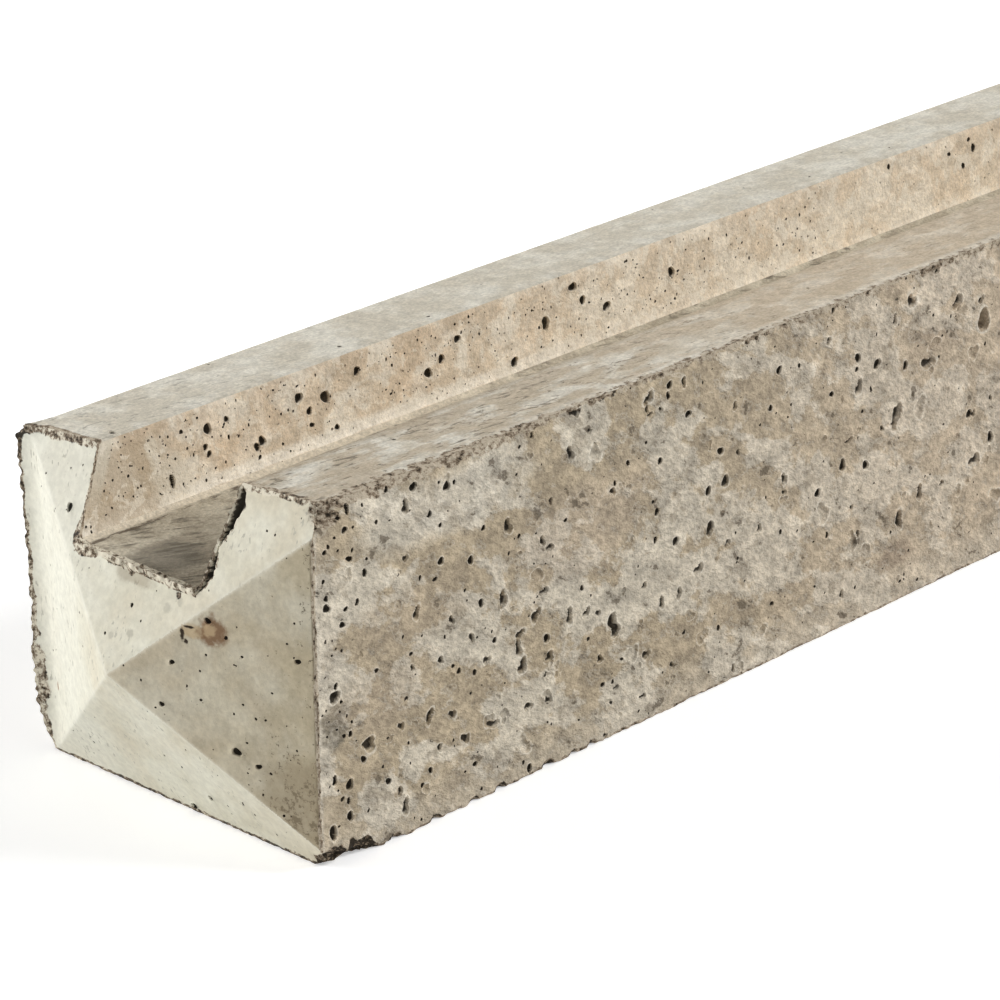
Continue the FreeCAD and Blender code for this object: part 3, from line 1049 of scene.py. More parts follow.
    def place(self):
        """Works out where each point of the plain form lies and which way it faces."""
        post = self.post
        ends = self.on(POINT, FOOT)
        section = np.where(ends[:, None], self.flat, post.section_at(self.flat[:, 1]))
        along = np.where(self.on(FOOT), post.foot_x, self.flat[:, 0])
        along = np.where(self.on(POINT), post.front_at(section), along)
        self.points = np.column_stack([along, section])
        outward = np.column_stack([np.zeros(len(along)), post.normal_at(self.flat[:, 1] % post.round)])
        forward = np.column_stack([-np.ones(len(along)), post.slopes[post.facet_at(section)]])
        forward /= np.linalg.norm(forward, axis=1, keepdims=True)
        backward = np.broadcast_to((1.0, 0.0, 0.0), forward.shape)
        choices = [outward, forward, backward, outward + forward, outward + backward]
        self.normals = np.select([self.on(part)[:, None] for part in range(len(choices))], choices)
        self.normals /= np.linalg.norm(self.normals, axis=1, keepdims=True)
        distance, nearest = distance_to_loop(section, post.loop)
        self.station = np.where(ends, nearest, self.flat[:, 1] % post.round)
        self.setback = np.where(ends, distance, along - post.front_edge(self.station))
        self.zone = post.zones[post.side_at(self.station)]
        # The share of a painted highlight along the point's ridges.
        self.ridge_highlight = bell(post.ridge_gap(section) / RIDGE_HIGHLIGHT_WIDTH) * self.on(POINT, FRONT_EDGE)


def uneven(skin):
    """How far each point stands out from the plain form through the surface's own unevenness."""
    post = skin.post
    rows = np.array([RELIEF[zone] for zone in ZONES])
    either = [(skin.station + offset) % post.round for offset in (-HAIR, HAIR)]
    amounts = np.mean([rows[post.zones[post.side_at(station)]] for station in either], axis=0)
    amounts[skin.on(POINT, FRONT_EDGE)] = RELIEF["point"]
    height = np.zeros(len(skin.points))
    for broad, width in dict.fromkeys(row[:2] for row in RELIEF.values()):
        chosen = (amounts[:, 0] == broad) & (amounts[:, 1] == width)
        height[chosen] += broad * layered_noise(skin.points[chosen], width, BROAD_SEED)
    return height + amounts[:, 2] * layered_noise(skin.points, *NOISES["fine"])


class Wear:
    """What wear does to each point: how far it stands out, how crumbly and how dark it is, and the shade
    painted in its crack and under the slot's bead.
    """

    def __init__(self, skin):
        self.skin = skin
        self.lumps = self.noise("lumps")
        self.grains = self.noise("grains")
        self.height, self.crumbs_and_shade, self.dark_crumbs_and_shade, self.dirt = np.zeros((4, len(skin.points)))
        self.by_foot = skin.on(FOOT, FOOT_EDGE)
        self.crumble_rims()
        self.wear_arrises()

    def noise(self, name):
        """One of the kinds of noise, at the points where they lie now."""
        return layered_noise(self.skin.points, *NOISES[name])

    def by_height(self, heights, values):
        """Values that are given at some heights, for every point."""
        return np.interp(self.skin.points[:, UP], heights, values)

    def darken(self, share, dark_crumbs_and_shade):
        """Makes points at least this crumbly, and this dark where that counts; the bead's painted shadow is
        laid on this way too.
        """
        self.dark_crumbs_and_shade = np.where(share > self.crumbs_and_shade, dark_crumbs_and_shade, self.dark_crumbs_and_shade)
        self.crumbs_and_shade = np.maximum(self.crumbs_and_shade, share)

    def crumble_rims(self):
        """Lets the front edge of every zone swell and crumble."""
        skin = self.skin
        rows = np.array([RIMS[zone] for zone in ZONES])[skin.zone]
        side_width, facet_width, swell, lump, grain, dark_crumbs_and_shade = rows.T
        by_lip = skin.by("moulded")
        facet_width = np.where(by_lip, self.by_height(LIP_HEIGHTS, LIP_CRUMB_WIDTHS), facet_width)
        dark_crumbs_and_shade = np.where(by_lip, self.by_height(LIP_HEIGHTS, LIP_SOOTS), dark_crumbs_and_shade)
        for corner, wider, darker, reach in CORNER_CRUMBS:
            close = bell((skin.station - skin.post.corners[corner]) / reach)
            facet_width = facet_width + wider * close
            dark_crumbs_and_shade = dark_crumbs_and_shade + darker * close
        width = np.where(skin.on(POINT), facet_width, side_width)
        width = width * (1 + UNEVEN_WIDTH * self.noise("rim_widths"))
        close = np.clip(1 - skin.setback / width, 0, 1) * ~self.by_foot
        share, spread, strength = RIM_PATCHES
        patches = share + spread * self.noise("rim_patches")
        rough = swell + lump * self.lumps + grain * self.grains
        self.height += close * rough * np.where(skin.on(POINT), FACET_SWELL, 1.0)
        self.darken(np.clip(strength * close * patches, 0, 1), dark_crumbs_and_shade)

    def wear_arrises(self):
        """Wears the long arrises, most of all near the point."""
        skin = self.skin
        on_sides = skin.on(SIDES, FRONT_EDGE)
        even, grainy = ARRIS_ROUGH
        share, spread, strength = ARRIS_PATCHES
        for arris, strip, wear, fade, floor, dark_crumbs_and_shade in WORN_ARRISES:
            distance = np.where(on_sides, abs(skin.station - skin.post.corners[arris]), np.inf)
            ragged = strip * (1 + UNEVEN_WIDTH * self.noise("arris_widths"))
            worn = np.clip(1 - distance / ragged, 0, 1) * np.clip(1 - skin.setback / fade, floor, 1)
            self.height -= worn * wear * np.clip(even + self.lumps + grainy * self.grains, 0, 2)
            self.darken(np.clip(strength * worn * (share + spread * self.grains), 0, 1), dark_crumbs_and_shade)

    def raise_lip(self):
        """Pushes out the lip on the far side of the point."""
        skin = self.skin
        on_point = skin.on(POINT)
        past_corner = np.maximum(skin.post.corners["far_top"] - skin.station, 0) / LIP_CORNER
        fade = np.clip(1 - skin.setback / np.where(on_point, LIP_FACET, LIP_SIDE), 0, 1)
        fade = fade ** np.where(on_point, *LIP_FADES) * bell(past_corner)
        fade[self.by_foot] = 0
        jags = 1 + LIP_JAGS * self.noise("lip_jags")
        amount = self.by_height(LIP_HEIGHTS, LIP_AMOUNTS)
        skin.points += (amount * fade * jags)[:, None] * np.array(LIP_REACH)

    def crack_wing(self):
        """Opens the crack on the near wing's inner edge, paints shade into it, and draws out the thin flash
        beside it.
        """
        skin = self.skin
        jags = self.noise("crack_jags")
        teeth = self.noise("crack_teeth")
        by_wall = skin.by("near_wall")
        opening = self.by_height(CRACK_HEIGHTS, CRACK_OPENINGS)
        jagged, toothed = CRACK_ROUGH
        opening = np.maximum(opening * (1 + jagged * jags + toothed * teeth), CRACK_LEAST)
        inside = (skin.setback - FLASH_WIDTH) / opening
        share = np.clip(CRACK_STEEP * inside + CRACK_LIP, 0, 1)
        share = share * np.clip(CRACK_STEEP - CRACK_STEEP * inside, 0, 1)
        share *= by_wall & skin.on(POINT)
        skin.points[:, ALONG] += CRACK_DEPTH * share * np.clip(opening, CRACK_SHALLOWEST, 1)
        # Painted shade in the crack, darker where it opens wider.
        dirt = CRACK_SHADE * np.clip(CRACK_STEEP * share, 0, 1) * np.clip(2 * opening, 0, 1)
        self.dirt = np.maximum(self.dirt, dirt)
        fringe = np.clip(1 - (skin.setback - FLASH_WIDTH - opening) / CRACK_FRINGE, 0, 1) * (share < 0.5)
        crumbly = CRACK_FRINGE_SHARE * fringe * np.clip(opening, 0, 1) * (by_wall & skin.on(POINT))
        self.darken(crumbly, CRACK_FRINGE_SOOT)
        edge = by_wall & skin.on(FRONT_EDGE)
        stand, jagged, toothed = FLASH_STANDS
        skin.points[edge, ALONG] -= np.clip(stand + jagged * jags + toothed * teeth, 0.0, 1.0)[edge]

    def raise_bead(self):
        """Raises the crumbly bead that ran over the front of the slot's floor, with gaps below it darkened by
        painted shadow.
        """
        skin = self.skin
        even, lumpy, grainy = BEAD_ROUGH
        lumps = even + lumpy * self.noise("bead_lumps") + grainy * self.grains
        lumps = np.clip(lumps, 0, BEAD_TALLEST)
        by_floor = skin.by("slot_floor") & ~self.by_foot
        bead = bell(skin.setback / BEAD_WIDTH) * lumps * by_floor
        skin.points[:, ALONG] -= BEAD_FORWARD * bead * ~skin.on(SIDES)
        skin.points[:, UP] += BEAD_UP * bead * ~skin.on(POINT)
        inset, width, depth, dark_crumbs_and_shade = BEAD_GAP_AND_SHADOW
        gap_and_shadow = bell((skin.setback - inset) / width) * by_floor * skin.on(POINT)
        even, patchy = BEAD_GAP_AND_SHADOW_PATCHES
        gap_and_shadow *= np.clip(even + patchy * self.noise("bead_gaps_and_shadows"), 0, 1)
        skin.points[:, ALONG] += depth * gap_and_shadow
        # Painted shadow in the gap below the bead, laid on as dark crumbling.
        self.darken(np.clip(2.0 * gap_and_shadow, 0, 1), dark_crumbs_and_shade)

    def break_corner(self, corner, inward, reach, dark_crumbs_and_shade):
        """Breaks a corner of the front edge off along an uneven plane."""
        skin = self.skin
        slope = np.array(inward) / np.array(reach)
        steepness = np.linalg.norm(slope)
        short = 1 - (skin.points - skin.post.corner_place(corner)) @ slope
        lumpy, grainy = BREAK_ROUGH
        rough = lumpy * self.noise("break") + grainy * self.grains
        moved = np.clip(short + rough * (short > BREAK_REACH), 0, None) / steepness
        skin.points += moved[:, None] * slope / steepness
        self.darken(np.clip(moved * BREAK_DARK, 0, 1) * OVER_CRUMBS, dark_crumbs_and_shade)

    def bite(self, centre, radius, direction):
        """Takes a round bite out of an edge, pushing points along a direction."""
        skin = self.skin
        direction = np.array(direction) / np.linalg.norm(direction)
        offset = skin.points - centre
        along = offset @ direction
        apart = (offset**2).sum(axis=1)
        travel = np.sqrt(np.maximum(radius**2 - apart + along**2, 0)) - along
        skin.points += (travel * (apart < radius**2))[:, None] * direction
        middle, less = BITE_DARK
        self.darken(np.clip(middle - less * np.sqrt(apart) / radius, 0, 1), 1.0)

    def chip(self, place, wide, high, dark_crumbs_and_shade):
        """Breaks a dark ragged patch out of the trowelled side."""
        skin = self.skin
        offset = skin.points - place
        share = np.hypot(offset[:, ALONG] / wide, offset[:, UP] / high)
        lumpy, grainy = CHIP_ROUGH
        share = share + lumpy * self.lumps + grainy * self.grains
        elsewhere = ~skin.by("trowelled") & skin.on(SIDES) | (abs(offset[:, ACROSS]) > high)
        broken = np.clip(CHIP_STEEP - CHIP_STEEP * share, 0, 1) * ~elsewhere
        skin.points[:, ACROSS] += CHIP_DEPTH * broken * (1 + CHIP_GRAIN * self.grains)
        self.darken(broken * OVER_BREAKS, dark_crumbs_and_shade)


def shape(skin, camera):
    """Gives the plain form its unevenness, pits and broken edges, and the masks that colour them."""
    depth, pit = np.zeros((2, len(skin.points)))
    for part in (SIDES, POINT):
        chosen = skin.on(part)
        depth[chosen], pit[chosen] = skin.pits.depth(part, skin.flat[chosen])
    relief = uneven(skin)
    wear = Wear(skin)
    skin.points += (wear.height + relief - depth)[:, None] * skin.normals
    wear.raise_lip()
    wear.crack_wing()
    wear.raise_bead()
    for broken in BROKEN_CORNERS:
        wear.break_corner(*broken)
    for across, down, radius in BOTTOM_NOTCHES:
        place, _ = camera.meet((across, down), "trowelled")
        centre = np.array((place[ALONG], place[ACROSS] - NOTCH_OUTSIDE, -NOTCH_OUTSIDE))
        wear.bite(centre, radius, (0, 1, 1))
    wear.bite(skin.post.corner_place("far_top") + LIP_REACH, LIP_BITE, (1, -1, -1))
    for across, down, width, height, dark_crumbs_and_shade in DARK_CHIPS:
        place, scale = camera.meet((across, down), "trowelled")
        wear.chip(place, width / (2 * scale * LENGTHWISE), height / (2 * scale * STEEP), dark_crumbs_and_shade)
    skin.points[:, UP] = np.maximum(skin.points[:, UP], 0.0)
    return {
        # Dark paint in pits and in the crack: painted shade, with some dirt in the pits.
        "pit": np.maximum(pit, wear.dirt),
        # Crumbling and how dark it is, which also carry the painted shadow under the slot's bead.
        "crumbs_and_shade": wear.crumbs_and_shade,
        "dark_crumbs_and_shade": wear.dark_crumbs_and_shade,
        # How high the relief and the pits' rims stand, which the trowelled side uses for painted shade in its
        # low parts and painted highlights on its high parts.
        "rise": np.clip(0.5 + relief + 3.0 * np.clip(-depth, 0, 1), 0, 1),
        # Where the point's ridges get their painted highlight.
        "ridge_highlight": skin.ridge_highlight,
        "front": np.clip(1 - skin.setback / FRONT_STRIP, 0, 1) * skin.on(SIDES),
    }


def make_mesh(skin, masks, materials):
    """Writes the skin as one closed mesh with its masks and the material of each face."""
    used, triangles = np.unique(np.concatenate(skin.triangles), return_inverse=True)
    triangles = triangles.reshape(-1, 3)
    mesh = bpy.data.meshes.new("post_skin")
    mesh.from_pydata((skin.points[used] * MM).tolist(), [], triangles.tolist())
    for name, values in masks.items():
        attribute = mesh.attributes.new(name, "FLOAT", "POINT")
        attribute.data.foreach_set("value", values[used].astype(np.float32))
    slots = list(dict.fromkeys(FINISHES.values()))
    for name in slots:
        mesh.materials.append(materials[name])
    finish = np.array([slots.index(FINISHES[name]) for name in ZONES + FACETS])
    mesh.polygons.foreach_set("material_index", finish[np.concatenate(skin.finishes)].astype(np.int32))
    mesh.polygons.foreach_set("use_smooth", np.ones(len(triangles), bool))
    mesh.update()
    mesh.set_sharp_from_angle(angle=math.radians(SHARP_ANGLE))
    return placed("post_skin", mesh)


def is_socket(value):
    """Whether a value comes from another node."""
    return isinstance(value, bpy.types.NodeSocket)


def fill(tree, socket, value):
    """Links a socket to another's value, or sets it."""
    if is_socket(value):
        tree.links.new(value, socket)
    else:
        socket.default_value = value


def add_node(tree, kind, inputs=None, **settings):
    """Adds a node with these settings, and fills its inputs by their names or numbers."""
    node = tree.nodes.new(kind)
    for name, value in settings.items():
        setattr(node, name, value)
    for socket, value in (inputs or {}).items():
        fill(tree, node.inputs[socket], value)
    return node


class Finish:
    """A procedural material, with its colour built up in layers over the surface's own coordinates."""

    def __init__(self, name, roughness, stretch=(1, 1, 1), turn=(0, 0, 0)):
        self.stretch = stretch
        self.turn = turn
        self.material = bpy.data.materials.new(name)
        self.material.use_nodes = True
        self.tree = self.material.node_tree
        self.surface = self.tree.nodes["Principled BSDF"]
        self.surface.inputs["Roughness"].default_value = roughness
        self.surface.inputs["Specular IOR Level"].default_value = SPECULAR
        self.place = self.node("ShaderNodeTexCoord").outputs["Object"]
        self.axes = self.node("ShaderNodeSeparateXYZ", {0: self.place}).outputs
        self.seed = 0.0
        self.colour = None

    def node(self, kind, inputs=None, **settings):
        """Adds a node to the material."""
        return add_node(self.tree, kind, inputs, **settings)

    def math(self, operation, first, second=0.0):
        """A sum, product or the like of two values."""
        return self.node("ShaderNodeMath", {0: first, 1: second}, operation=operation).outputs[0]

    def times(self, *factors):
        """The product of several values."""
        product = factors[0]
        for factor in factors[1:]:
            product = self.math("MULTIPLY", product, factor)
        return product

    def mapped(self, size, stretch=None, turn=None):
        """The surface's coordinates, turned about the axes, in units of size millimetres times stretch."""
        self.seed += SEED_STEP
        angles = [math.radians(angle) for angle in turn or self.turn]
        turned = self.node("ShaderNodeMapping", {"Rotation": angles, "Vector": self.place})
        inputs = {
            "Location": (self.seed, -self.seed, self.seed / 2),
            "Scale": [1 / (MM * size * factor) for factor in stretch or self.stretch],
            "Vector": turned.outputs["Vector"],
        }
        return self.node("ShaderNodeMapping", inputs).outputs["Vector"]

    def noise(self, size, detail=4.0, rough=0.55, stretch=None, warp=0.0, turn=None):
        """Cloudy noise from 0 to 1 whose lumps are about size millimetres wide, times stretch."""
        inputs = {
            "Vector": self.mapped(size, stretch, turn),
            "Scale": 1.0,
            "Detail": detail,
            "Roughness": rough,
            "Distortion": warp,
        }
        return self.node("ShaderNodeTexNoise", inputs).outputs["Fac"]

    def patches(self, size, low, high, *noise, **more):
        """Patches of cloudy noise, from 0 where it is low to 1 where it is high."""
        return self.range(self.noise(size, *noise, **more), low, high)

    def specks(self, size, rare, largest):
        """Round specks at random, about size millimetres apart, from 0 outside to 1 inside."""
        place = self.mapped(size)
        wobble = self.node("ShaderNodeTexNoise", {"Scale": 2.5, "Detail": 1.0, "Vector": place})
        reach = (SPECK_WOBBLE, SPECK_WOBBLE, SPECK_WOBBLE)
        moved = {0: wobble.outputs["Color"], 1: reach, 2: place}
        shifted = self.node("ShaderNodeVectorMath", moved, operation="MULTIPLY_ADD")
        cells = self.node("ShaderNodeTexVoronoi", {"Scale": 1.0, "Vector": shifted.outputs["Vector"]})
        chance = self.node("ShaderNodeSeparateColor", {0: cells.outputs["Color"]}).outputs[0]
        radius = self.times(self.math("SUBTRACT", chance, rare), largest / (1 - rare))
        return self.range(self.math("SUBTRACT", radius, cells.outputs["Distance"]), 0.0, 0.05)

    def range(self, value, low, high):
        """How far a value lies between low and high, from 0 to 1, with a soft start and end."""
        rising = float(low < high)
        inputs = {
            "Value": value,
            "From Min": min(low, high),
            "From Max": max(low, high),
            "To Min": 1.0 - rising,
            "To Max": rising,
        }
        return self.node("ShaderNodeMapRange", inputs, interpolation_type="SMOOTHSTEP").outputs["Result"]

    def band(self, axis, low, high):
        """How far the place along an axis lies between two values in millimetres, from 0 to 1."""
        return self.range(self.axes[axis], low * MM, high * MM)

    def mask(self, name):
        """One of the mesh's own masks."""
        return self.node("ShaderNodeAttribute", attribute_name=name).outputs["Fac"]

    def mix(self, share, *colours):
        """A second colour laid over the first by a share."""
        first, second = (colour if is_socket(colour) else (*colour, 1.0) for colour in colours)
        inputs = {MIX_SHARE: share, MIX_FIRST: first, MIX_SECOND: second}
        return self.node("ShaderNodeMix", inputs, data_type="RGBA").outputs[MIX_RESULT]

    def start(self, share, first, second):
        """Starts the colour as a mix of two."""
        self.colour = self.mix(share, first, second)

    def lay(self, paint, *shares):
        """Lays a paint over the colour, by the product of the shares."""
        self.colour = self.mix(self.times(*shares), self.colour, paint)

    def shade(self, value, low, high):
        """Makes the colour darker or lighter by a value from 0 to 1."""
        factor = self.node("ShaderNodeMapRange", {"Value": value, "To Min": low, "To Max": high})
        inputs = {0: self.colour, "Scale": factor.outputs["Result"]}
        self.colour = self.node("ShaderNodeVectorMath", inputs, operation="SCALE").outputs["Vector"]

    def grain(self, size, amount):
        """Darkens and lightens the colour by an amount, with noise of a size in millimetres."""
        self.shade(self.patches(size, 0.3, 0.7, 4, 0.65), 1 - amount, 1 + amount)

    def stain(self, place, reach, paint, strength):
        """Lays on a stain of uneven outline, with its place and reach in millimetres."""
        sizes = [[axis * MM for axis in vector] for vector in (place, reach)]
        offset = self.node("ShaderNodeVectorMath", {0: self.place, 1: sizes[0]}, operation="SUBTRACT")
        inputs = {0: offset.outputs["Vector"], 1: sizes[1]}
        scaled = self.node("ShaderNodeVectorMath", inputs, operation="DIVIDE")
        length = self.node("ShaderNodeVectorMath", {0: scaled.outputs["Vector"]}, operation="LENGTH")
        uneven = self.times(self.noise(max(1.0, STAIN_LUMPS * max(reach)), 5, 0.65), STAIN_UNEVEN)
        edge = self.math("ADD", length.outputs["Value"], self.math("SUBTRACT", uneven, STAIN_UNEVEN / 2))
        self.lay(paint, self.range(edge, *STAIN_EDGE), strength)

    def stains(self, camera):
        """Lays on the stains that the photograph shows on this finish's surfaces."""
        for surface in (name for name in STAINS if FINISHES[name] == self.material.name):
            level = surface == "slot_floor"
            for pixel, (width, height), paint, strength in STAINS[surface]:
                place, scale = camera.meet(pixel, surface)
                long = width / (2 * scale * LENGTHWISE)
                short = height / (2 * scale * (SHALLOW if level else STEEP))
                self.stain(place, (long, short, long) if level else (long, long, short), paint, strength)

    def weather(self, pale=CRUMB_PALE):
        """Lays on the crumbly edges with the painted shadow under the slot's bead, and the dirt and painted
        shade in the pits and the crack.
        """
        grain = self.noise(1.5, 4, 0.7)
        lightness = self.math("ADD", grain, self.times(self.noise(6.0, 2), 0.32))
        lightness = self.math("SUBTRACT", lightness, self.times(self.mask("dark_crumbs_and_shade"), 0.30))
        crumb_and_shade_paint = self.mix(self.range(lightness, *CRUMB_TONES[:2]), CRUMB_DARK, CRUMB_BROWN)
        crumb_and_shade_paint = self.mix(self.range(lightness, *CRUMB_TONES[1:]), crumb_and_shade_paint, pale)
        # The crumbling, which also lays on the painted shadow under the slot's bead.
        ragged = self.math("SUBTRACT", self.mask("crumbs_and_shade"), self.times(grain, 0.6))
        self.lay(crumb_and_shade_paint, self.range(ragged, *CRUMB_EDGE))
        # The dark paint in pits and the crack: painted shade, with some dirt in the pits.
        pit = self.math("SUBTRACT", self.mask("pit"), self.times(grain, 0.4))
        self.lay(PIT_DIRT_AND_SHADE, self.range(pit, *DIRT_AND_SHADE_EDGE), DIRT_AND_SHADE_STRENGTH)

    def done(self, bump, height):
        """Sets the colour and a bump of a height in millimetres, and gives the material."""
        node = self.node("ShaderNodeBump", {"Distance": height * MM, "Height": bump})
        fill(self.tree, self.surface.inputs["Base Color"], self.colour)
        fill(self.tree, self.surface.inputs["Normal"], node.outputs["Normal"])
        return self.material


def cast_point(camera):
    """Smooth cream concrete from the mould's end, with faint grey dashes."""
    finish = Finish("cast_point", 0.75)
    cloud = finish.patches(22, 0.38, 0.62, 5, 0.6, warp=0.3)
    finish.start(cloud, (0.645, 0.615, 0.495), (0.735, 0.715, 0.60))
    finish.lay((0.64, 0.575, 0.44), finish.patches(30, 0.48, 0.66), 0.5)
    finish.lay((0.775, 0.765, 0.665), finish.band(ACROSS, 8, 34), 0.65)
    finish.lay((0.55, 0.485, 0.36), finish.band(ACROSS, -14, -50), finish.patches(16, 0.3, 0.6), 0.55)
    finish.grain(2.0, 0.07)
    dashes = finish.patches(1.0, 0.62, 0.68, 2, 0.5, stretch=(1, 1, 3))
    finish.lay((0.42, 0.40, 0.33), dashes, finish.patches(8, 0.45, 0.6, 3), 0.75)
    finish.lay((0.25, 0.22, 0.17), finish.specks(5.0, 0.6, 0.07), 0.6)
    # A painted highlight along the point's ridges.
    finish.lay((0.80, 0.785, 0.69), finish.mask("ridge_highlight"), 0.45)
    finish.stains(camera)
    finish.weather(CRUMB_CREAM)
    return finish.done(finish.noise(2.4, 4, 0.6), 0.14)


def dusty_point(camera):
    """The point's facet next to the trowelled side: cream concrete under brown dust, sandy low down."""
    finish = Finish("dusty_point", 0.8)
    cloud = finish.patches(24, 0.36, 0.62, 5, 0.6, warp=0.4)
    finish.start(cloud, (0.51, 0.445, 0.325), (0.61, 0.565, 0.445))
    finish.lay((0.45, 0.385, 0.26), finish.band(ACROSS, -12, -52), finish.patches(14, 0.32, 0.6), 0.75)
    finish.grain(1.6, 0.09)
    finish.grain(6.0, 0.07)
    corner = finish.times(finish.band(ACROSS, -26, -48), finish.band(UP, 50, 8))
    edge = finish.times(finish.band(ACROSS, -45, -54), 0.45)
    sand = finish.times(finish.math("MAXIMUM", corner, edge), finish.patches(5.0, 0.25, 0.6, 3))
    finish.lay((0.34, 0.28, 0.185), sand, 0.5)
    grain = finish.noise(1.3, 4, 0.75)
    finish.lay((0.58, 0.51, 0.38), finish.range(grain, 0.56, 0.62), sand, 0.6)
    grain = finish.math("SUBTRACT", grain, finish.times(sand, 0.22))
    finish.lay((0.07, 0.055, 0.035), finish.range(grain, 0.34, 0.28), 0.85)
    inset = finish.math("ADD", finish.axes[ACROSS], finish.times(finish.axes[UP], TROWELLED_LEAN))
    line = finish.range(inset, -51.2 * MM, -51.7 * MM)
    finish.lay((0.17, 0.135, 0.085), line, finish.patches(3.0, 0.3, 0.55), 0.7)
    finish.lay((0.16, 0.135, 0.10), finish.specks(3.6, 0.5, 0.085), 0.8)
    # A painted highlight along the point's ridges.
    finish.lay((0.78, 0.755, 0.65), finish.mask("ridge_highlight"), 0.45)
    finish.stains(camera)
    finish.weather()
    return finish.done(finish.noise(2.0, 4, 0.6), 0.18)


def trowelled_side(camera):
    """Rough concrete that was struck off and trowelled: pale scum over brown hollows with paler rims, with
    painted shade in the low parts of its relief and painted highlights on the high parts.
    """
    finish = Finish("trowelled_side", 0.9, (1.5, 1, 1), (0, -30, 0))
    coarse = finish.noise(5.0, 4, 0.6)
    fine = finish.noise(1.7, 4, 0.65)
    broad = finish.noise(18, 6, 0.62, warp=0.15)
    scum = finish.range(broad, 0.47, 0.545)
    finish.start(scum, (0.42, 0.346, 0.243), (0.565, 0.507, 0.408))
    finish.lay((0.605, 0.497, 0.38), finish.band(ALONG, -760, -600), 0.5)
    front = finish.mask("front")
    low_down = finish.times(finish.band(UP, 16, 3), 0.45)
    finish.lay((0.58, 0.52, 0.425), finish.math("MAXIMUM", low_down, finish.times(front, 0.3)))
    finish.lay((0.66, 0.60, 0.50), finish.range(front, 0.80, 0.92), 0.5)
    finish.stains(camera)
    finish.lay((0.28, 0.23, 0.165), finish.patches(8, 0.56, 0.60, 5, 0.62), 0.45)
    scum_edge = finish.range(finish.math("ABSOLUTE", finish.math("SUBTRACT", broad, 0.515)), 0.035, 0.006)
    hole_edge = finish.range(finish.math("ABSOLUTE", finish.math("SUBTRACT", coarse, 0.405)), 0.03, 0.008)
    rims = finish.math("MAXIMUM", finish.times(scum_edge, 0.28), finish.times(hole_edge, 0.3))
    finish.lay((0.69, 0.63, 0.53), rims)
    # Painted shade and light that follow the bump's relief: darker where its noise lies low, lighter where it
    # stands high.
    finish.shade(finish.range(coarse, 0.34, 0.66), 0.84, 1.16)
    finish.shade(finish.range(fine, 0.36, 0.62), 0.84, 1.12)
    finish.grain(0.6, 0.10)
    # Painted shade in the mesh's hollows and painted highlights on its lumps and the pits' rims, by how high
    # they stand.
    rise = finish.mask("rise")
    finish.shade(rise, 0.74, 1.24)
    finish.lay((0.74, 0.69, 0.59), finish.range(rise, 0.74, 0.98), 0.55)
    # Painted shade in the deepest parts of the bump's coarse and fine relief.
    finish.lay((0.13, 0.105, 0.075), finish.range(coarse, 0.36, 0.33), 0.75)
    fine_relief_shade = finish.math("SUBTRACT", fine, finish.times(front, 0.03))
    finish.lay((0.07, 0.058, 0.042), finish.range(fine_relief_shade, 0.315, 0.28), 0.9)
    finish.weather()
    height = finish.math("ADD", fine, finish.times(coarse, 1.2))
    return finish.done(finish.math("ADD", height, finish.times(scum, 0.25)), 1.1)


def slot_wall(camera):
    """Warm sandy concrete of the slot's walls, with cream patches and many tiny holes."""
    finish = Finish("slot_wall", 0.85)
    cream = finish.patches(12, 0.44, 0.56, 6, 0.62, warp=0.6)
    finish.start(cream, (0.645, 0.535, 0.40), (0.785, 0.705, 0.58))
    finish.lay((0.67, 0.52, 0.365), finish.patches(28, 0.5, 0.64), 0.4)
    finish.lay((0.53, 0.41, 0.285), finish.band(UP, 84, 92), finish.patches(12, 0.42, 0.58), 0.55)
    finish.lay((0.83, 0.73, 0.585), finish.band(ALONG, -760, -640), 0.3)
    foot = finish.times(finish.band(UP, 70.4, 71.2), finish.band(UP, 75.0, 73.0))
    finish.lay((0.82, 0.76, 0.655), foot, finish.band(ALONG, -560, -790), 0.85)
    finish.grain(4.0, 0.15)
    finish.grain(0.8, 0.12)
    finish.stains(camera)
    strip = finish.range(finish.mask("front"), 0.25, 0.5)
    finish.lay((0.64, 0.585, 0.475), strip, finish.band(UP, 70, 90), 0.8)
    finish.lay((0.80, 0.73, 0.61), finish.patches(6.5, 0.545, 0.59, 5, 0.65, warp=0.4), 0.6)
    clusters = finish.patches(20, 0.36, 0.52, 3)
    specks = finish.specks(2.3, 0.4, 0.19)
    finish.lay((0.13, 0.10, 0.07), specks, clusters, 0.85)
    finish.weather()
    rough = finish.math("SUBTRACT", finish.noise(2.0, 4, 0.68), finish.times(specks, 0.4))
    return finish.done(rough, 0.8)


